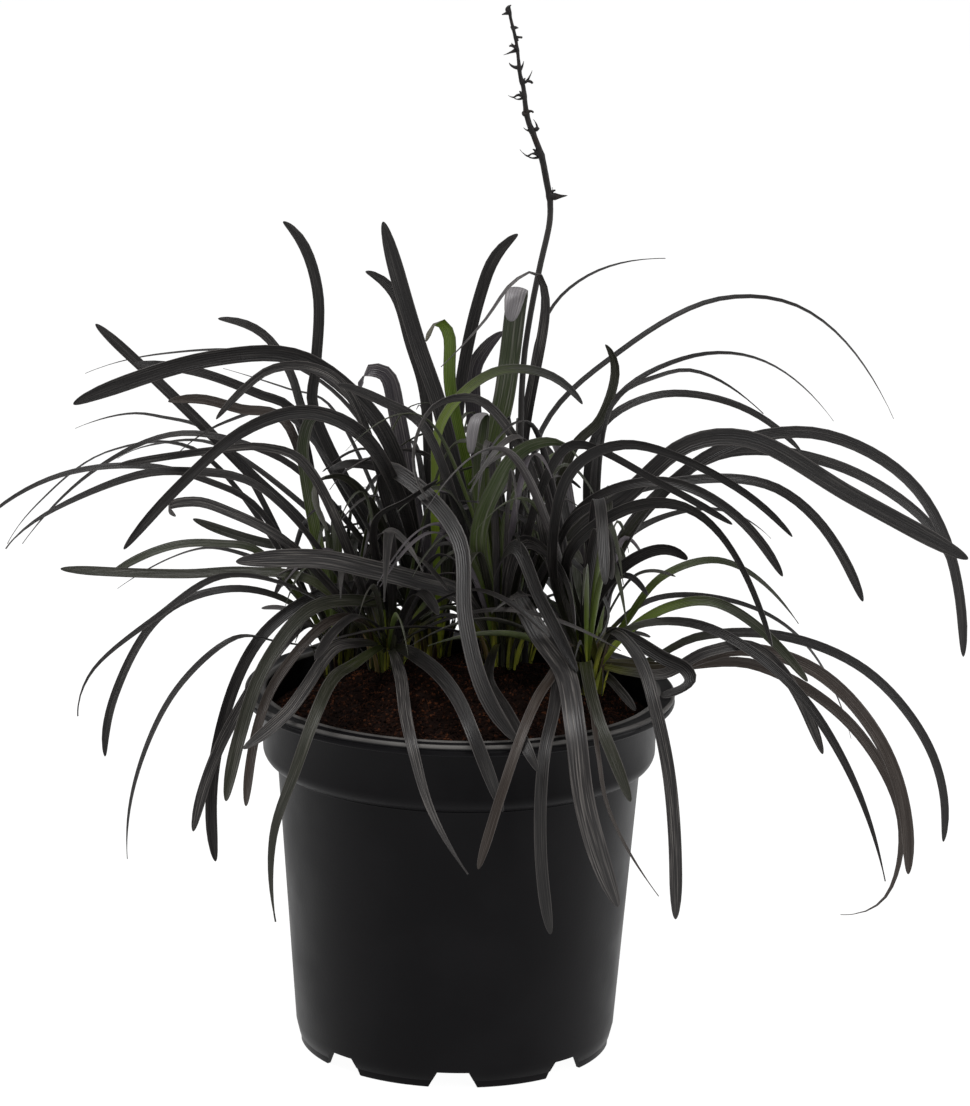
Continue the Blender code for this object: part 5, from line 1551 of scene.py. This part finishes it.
# %% What is left at its joints
# The line of each remnant, and its half thickness along it.
REMAINS = [
    ([(20.8, 412.6), (19.7, 413.7), (20.3, 414.8), (21.3, 415.6)], (0.9, 0.85, 0.7, 0.15)),
    ([(21.0, 412.4), (19.2, 412.2), (17.5, 411.7)], (0.85, 0.6, 0.2)),
    ([(21.4, 406.0), (22.8, 406.5), (24.3, 406.4)], (1.15, 0.75, 0.1)),
    ([(23.3, 402.6), (24.5, 402.7), (25.6, 402.6)], (0.75, 0.45, 0.45)),
    ([(23.4, 402.0), (23.9, 401.5), (24.2, 401.3)], (0.6, 0.45, 0.2)),
    ([(23.3, 398.2), (21.8, 399.3), (20.5, 399.1)], (0.8, 0.65, 0.3)),
    ([(22.7, 398.6), (21.9, 399.6), (21.4, 400.4)], (0.6, 0.4, 0.1)),
    ([(23.0, 397.5), (21.0, 396.6), (18.1, 395.6)], (0.95, 0.4, 0.08)),
    ([(24.2, 390.6), (22.4, 390.8), (21.1, 391.6), (20.5, 392.5)], (0.95, 0.6, 0.4, 0.1)),
    ([(24.7, 389.8), (25.5, 390.7), (26.0, 392.0), (26.3, 393.2)], (0.95, 0.5, 0.3, 0.08)),
    ([(25.7, 384.6), (27.4, 385.1), (28.8, 387.3), (29.7, 389.4)], (0.9, 0.6, 0.3, 0.07)),
    ([(27.2, 385.0), (28.9, 385.0), (29.8, 384.2)], (0.5, 0.6, 0.5)),
    ([(25.8, 384.9), (26.3, 385.6), (26.9, 386.4)], (0.7, 0.5, 0.2)),
    ([(26.1, 379.1), (23.9, 379.6), (22.3, 378.7), (20.0, 379.5)], (0.95, 0.5, 0.35, 0.07)),
    ([(25.7, 378.3), (23.7, 377.9), (22.4, 378.5)], (0.6, 0.25, 0.2)),
    ([(25.9, 379.9), (25.2, 380.5), (24.6, 381.2)], (0.9, 0.5, 0.2)),
    ([(26.8, 372.0), (26.8, 372.3), (26.9, 372.7)], (1.2, 1.35, 1.1)),
    ([(27.8, 372.8), (29.5, 373.1), (30.1, 372.5)], (0.7, 0.45, 0.4)),
    ([(29.7, 365.4), (31.4, 365.9), (32.4, 366.4)], (0.6, 0.95, 0.4)),
    ([(31.7, 366.3), (31.3, 368.0), (30.1, 369.9)], (0.5, 0.35, 0.07)),
    ([(28.2, 365.4), (27.1, 365.8), (26.2, 366.6)], (0.5, 0.22, 0.06)),
    ([(32.0, 355.8), (29.6, 356.1), (27.9, 355.2), (26.4, 356.1), (24.7, 357.8)],
     (0.9, 0.35, 0.4, 0.2, 0.07)),
    ([(32.1, 354.7), (29.6, 354.4), (27.9, 355.2)], (0.6, 0.3, 0.3)),
    ([(31.5, 356.7), (30.7, 357.5), (29.9, 357.9)], (0.9, 0.5, 0.2)),
    ([(36.4, 339.1), (38.9, 339.0), (41.1, 339.1), (43.9, 339.4)], (1.6, 1.5, 0.75, 0.08)),
    ([(37.2, 340.4), (38.0, 341.2), (38.9, 341.5)], (0.9, 0.5, 0.35)),
    ([(37.7, 340.8), (37.8, 341.6), (37.8, 342.8)], (0.3, 0.2, 0.07)),
]
print(len(REMAINS), "remnants")


# %% The stem's material
FLOWERS_FROM = 0.343  # above this height, in metres, the stem is nearly black
FLOWERS_EASE = 0.01
STEM_GREY = (42, 40, 39)
STEM_BLACK = ((12, 11, 11), (34, 31, 31))  # in the furrows and on the ridges
STEM_BROWN = ((14, 10, 8), (40, 29, 24))


def stem_material():
    """Dark grey below, nearly black with browner patches above, with fine lines along it."""
    made, tree, surface = new_material("withered_stem", 0.55, 0.2)
    place = add(tree, "ShaderNodeTexCoord").outputs["Object"]
    stretched = vector_maths(tree, "MULTIPLY", place, (1, 1, 0.12))
    lines = noise_at(tree, stretched, 2600.0, 3.0)
    ridges = remap(tree, lines, 0.35, 0.7)
    black = blend_colour(tree, ridges, *[colour(*each) for each in STEM_BLACK])
    brown = blend_colour(tree, ridges, *[colour(*each) for each in STEM_BROWN])
    shade = blend_colour(tree, remap(tree, noise_at(tree, place, 160.0, 3.0), 0.45, 0.7), black, brown)
    height = add(tree, "ShaderNodeSeparateXYZ", {"Vector": place}).outputs["Z"]
    younger = remap(tree, height, FLOWERS_FROM, FLOWERS_FROM - FLOWERS_EASE)
    shade = blend_colour(tree, younger, shade, colour(*STEM_GREY))
    tree.links.new(shade, surface.inputs["Base Color"])
    bump(tree, surface, lines, 0.5, 0.0002)
    return made


# %% The tree that sweeps tapering tubes
TUBE_INPUTS = {"Sides": 12, "Shrivel": 0.00022}


def tube_tree(material):
    """Sweeps a circle along each line, as thick as the line says, and wrinkles it."""
    tree, given = geometry_tree("tubes", TUBE_INPUTS)
    lines = add(tree, "GeometryNodeMeshToCurve", {"Mesh": given["Geometry"]}).outputs[0]
    skin = swept(tree, lines, circle(tree, given["Sides"], 1.0), Scale=named(tree, "radius"))
    place = add(tree, "GeometryNodeInputPosition").outputs[0]
    rough = maths(tree, "SUBTRACT", noise_at(tree, place, 700.0, 2.0), 0.5)
    push = maths(tree, "MULTIPLY", rough, given["Shrivel"])
    offset = vector_maths(tree, "SCALE", add(tree, "GeometryNodeInputNormal").outputs[0], push)
    skin = add(tree, "GeometryNodeSetPosition", {"Geometry": skin, "Offset": offset}).outputs[0]
    finish_tree(tree, skin, material)
    return tree


# %% Sweep the stem and its remains
LEANS = 1.6  # a remnant's end stands up to this far nearer or further than its foot


def stem_lines():
    """The stem from below the mix to its tip, thicker at its joints, and the line of each remnant."""
    draw = random.Random(SEED)
    depth = SCAPE_PLACE[1]
    buried = list(scape_line()[:3])
    stem = smooth_line(buried + [sight(*spot, depth) for spot in STEM_RISES], samples=3)
    heights = drawn_at(stem)[:, 1]
    swell = sum(np.exp(-(((heights - joint) / JOINT_LENGTH) ** 2)) for joint in JOINTS)
    chains = [stem]
    radii = [np.interp(heights, *zip(*STEM_GIRTH)) * (1 + JOINT_SWELL * swell)]
    for drawn, thickness in REMAINS:
        towards = draw.uniform(-LEANS, LEANS)
        points = [sight(*spot, depth + towards * k / len(drawn)) for k, spot in enumerate(drawn)]
        line = smooth_line(points, samples=5)
        chains.append(line)
        radii.append(np.interp(np.linspace(0, 1, len(line)), np.linspace(0, 1, len(thickness)), thickness))
    return path_mesh("stem_lines", chains, radius=[thick * MM for thick in radii])


stem = grown("withered_stem", stem_lines(), tube_tree(stem_material()), TUBE_INPUTS)
belongs(stem, "withered_stem", "flower_scape")
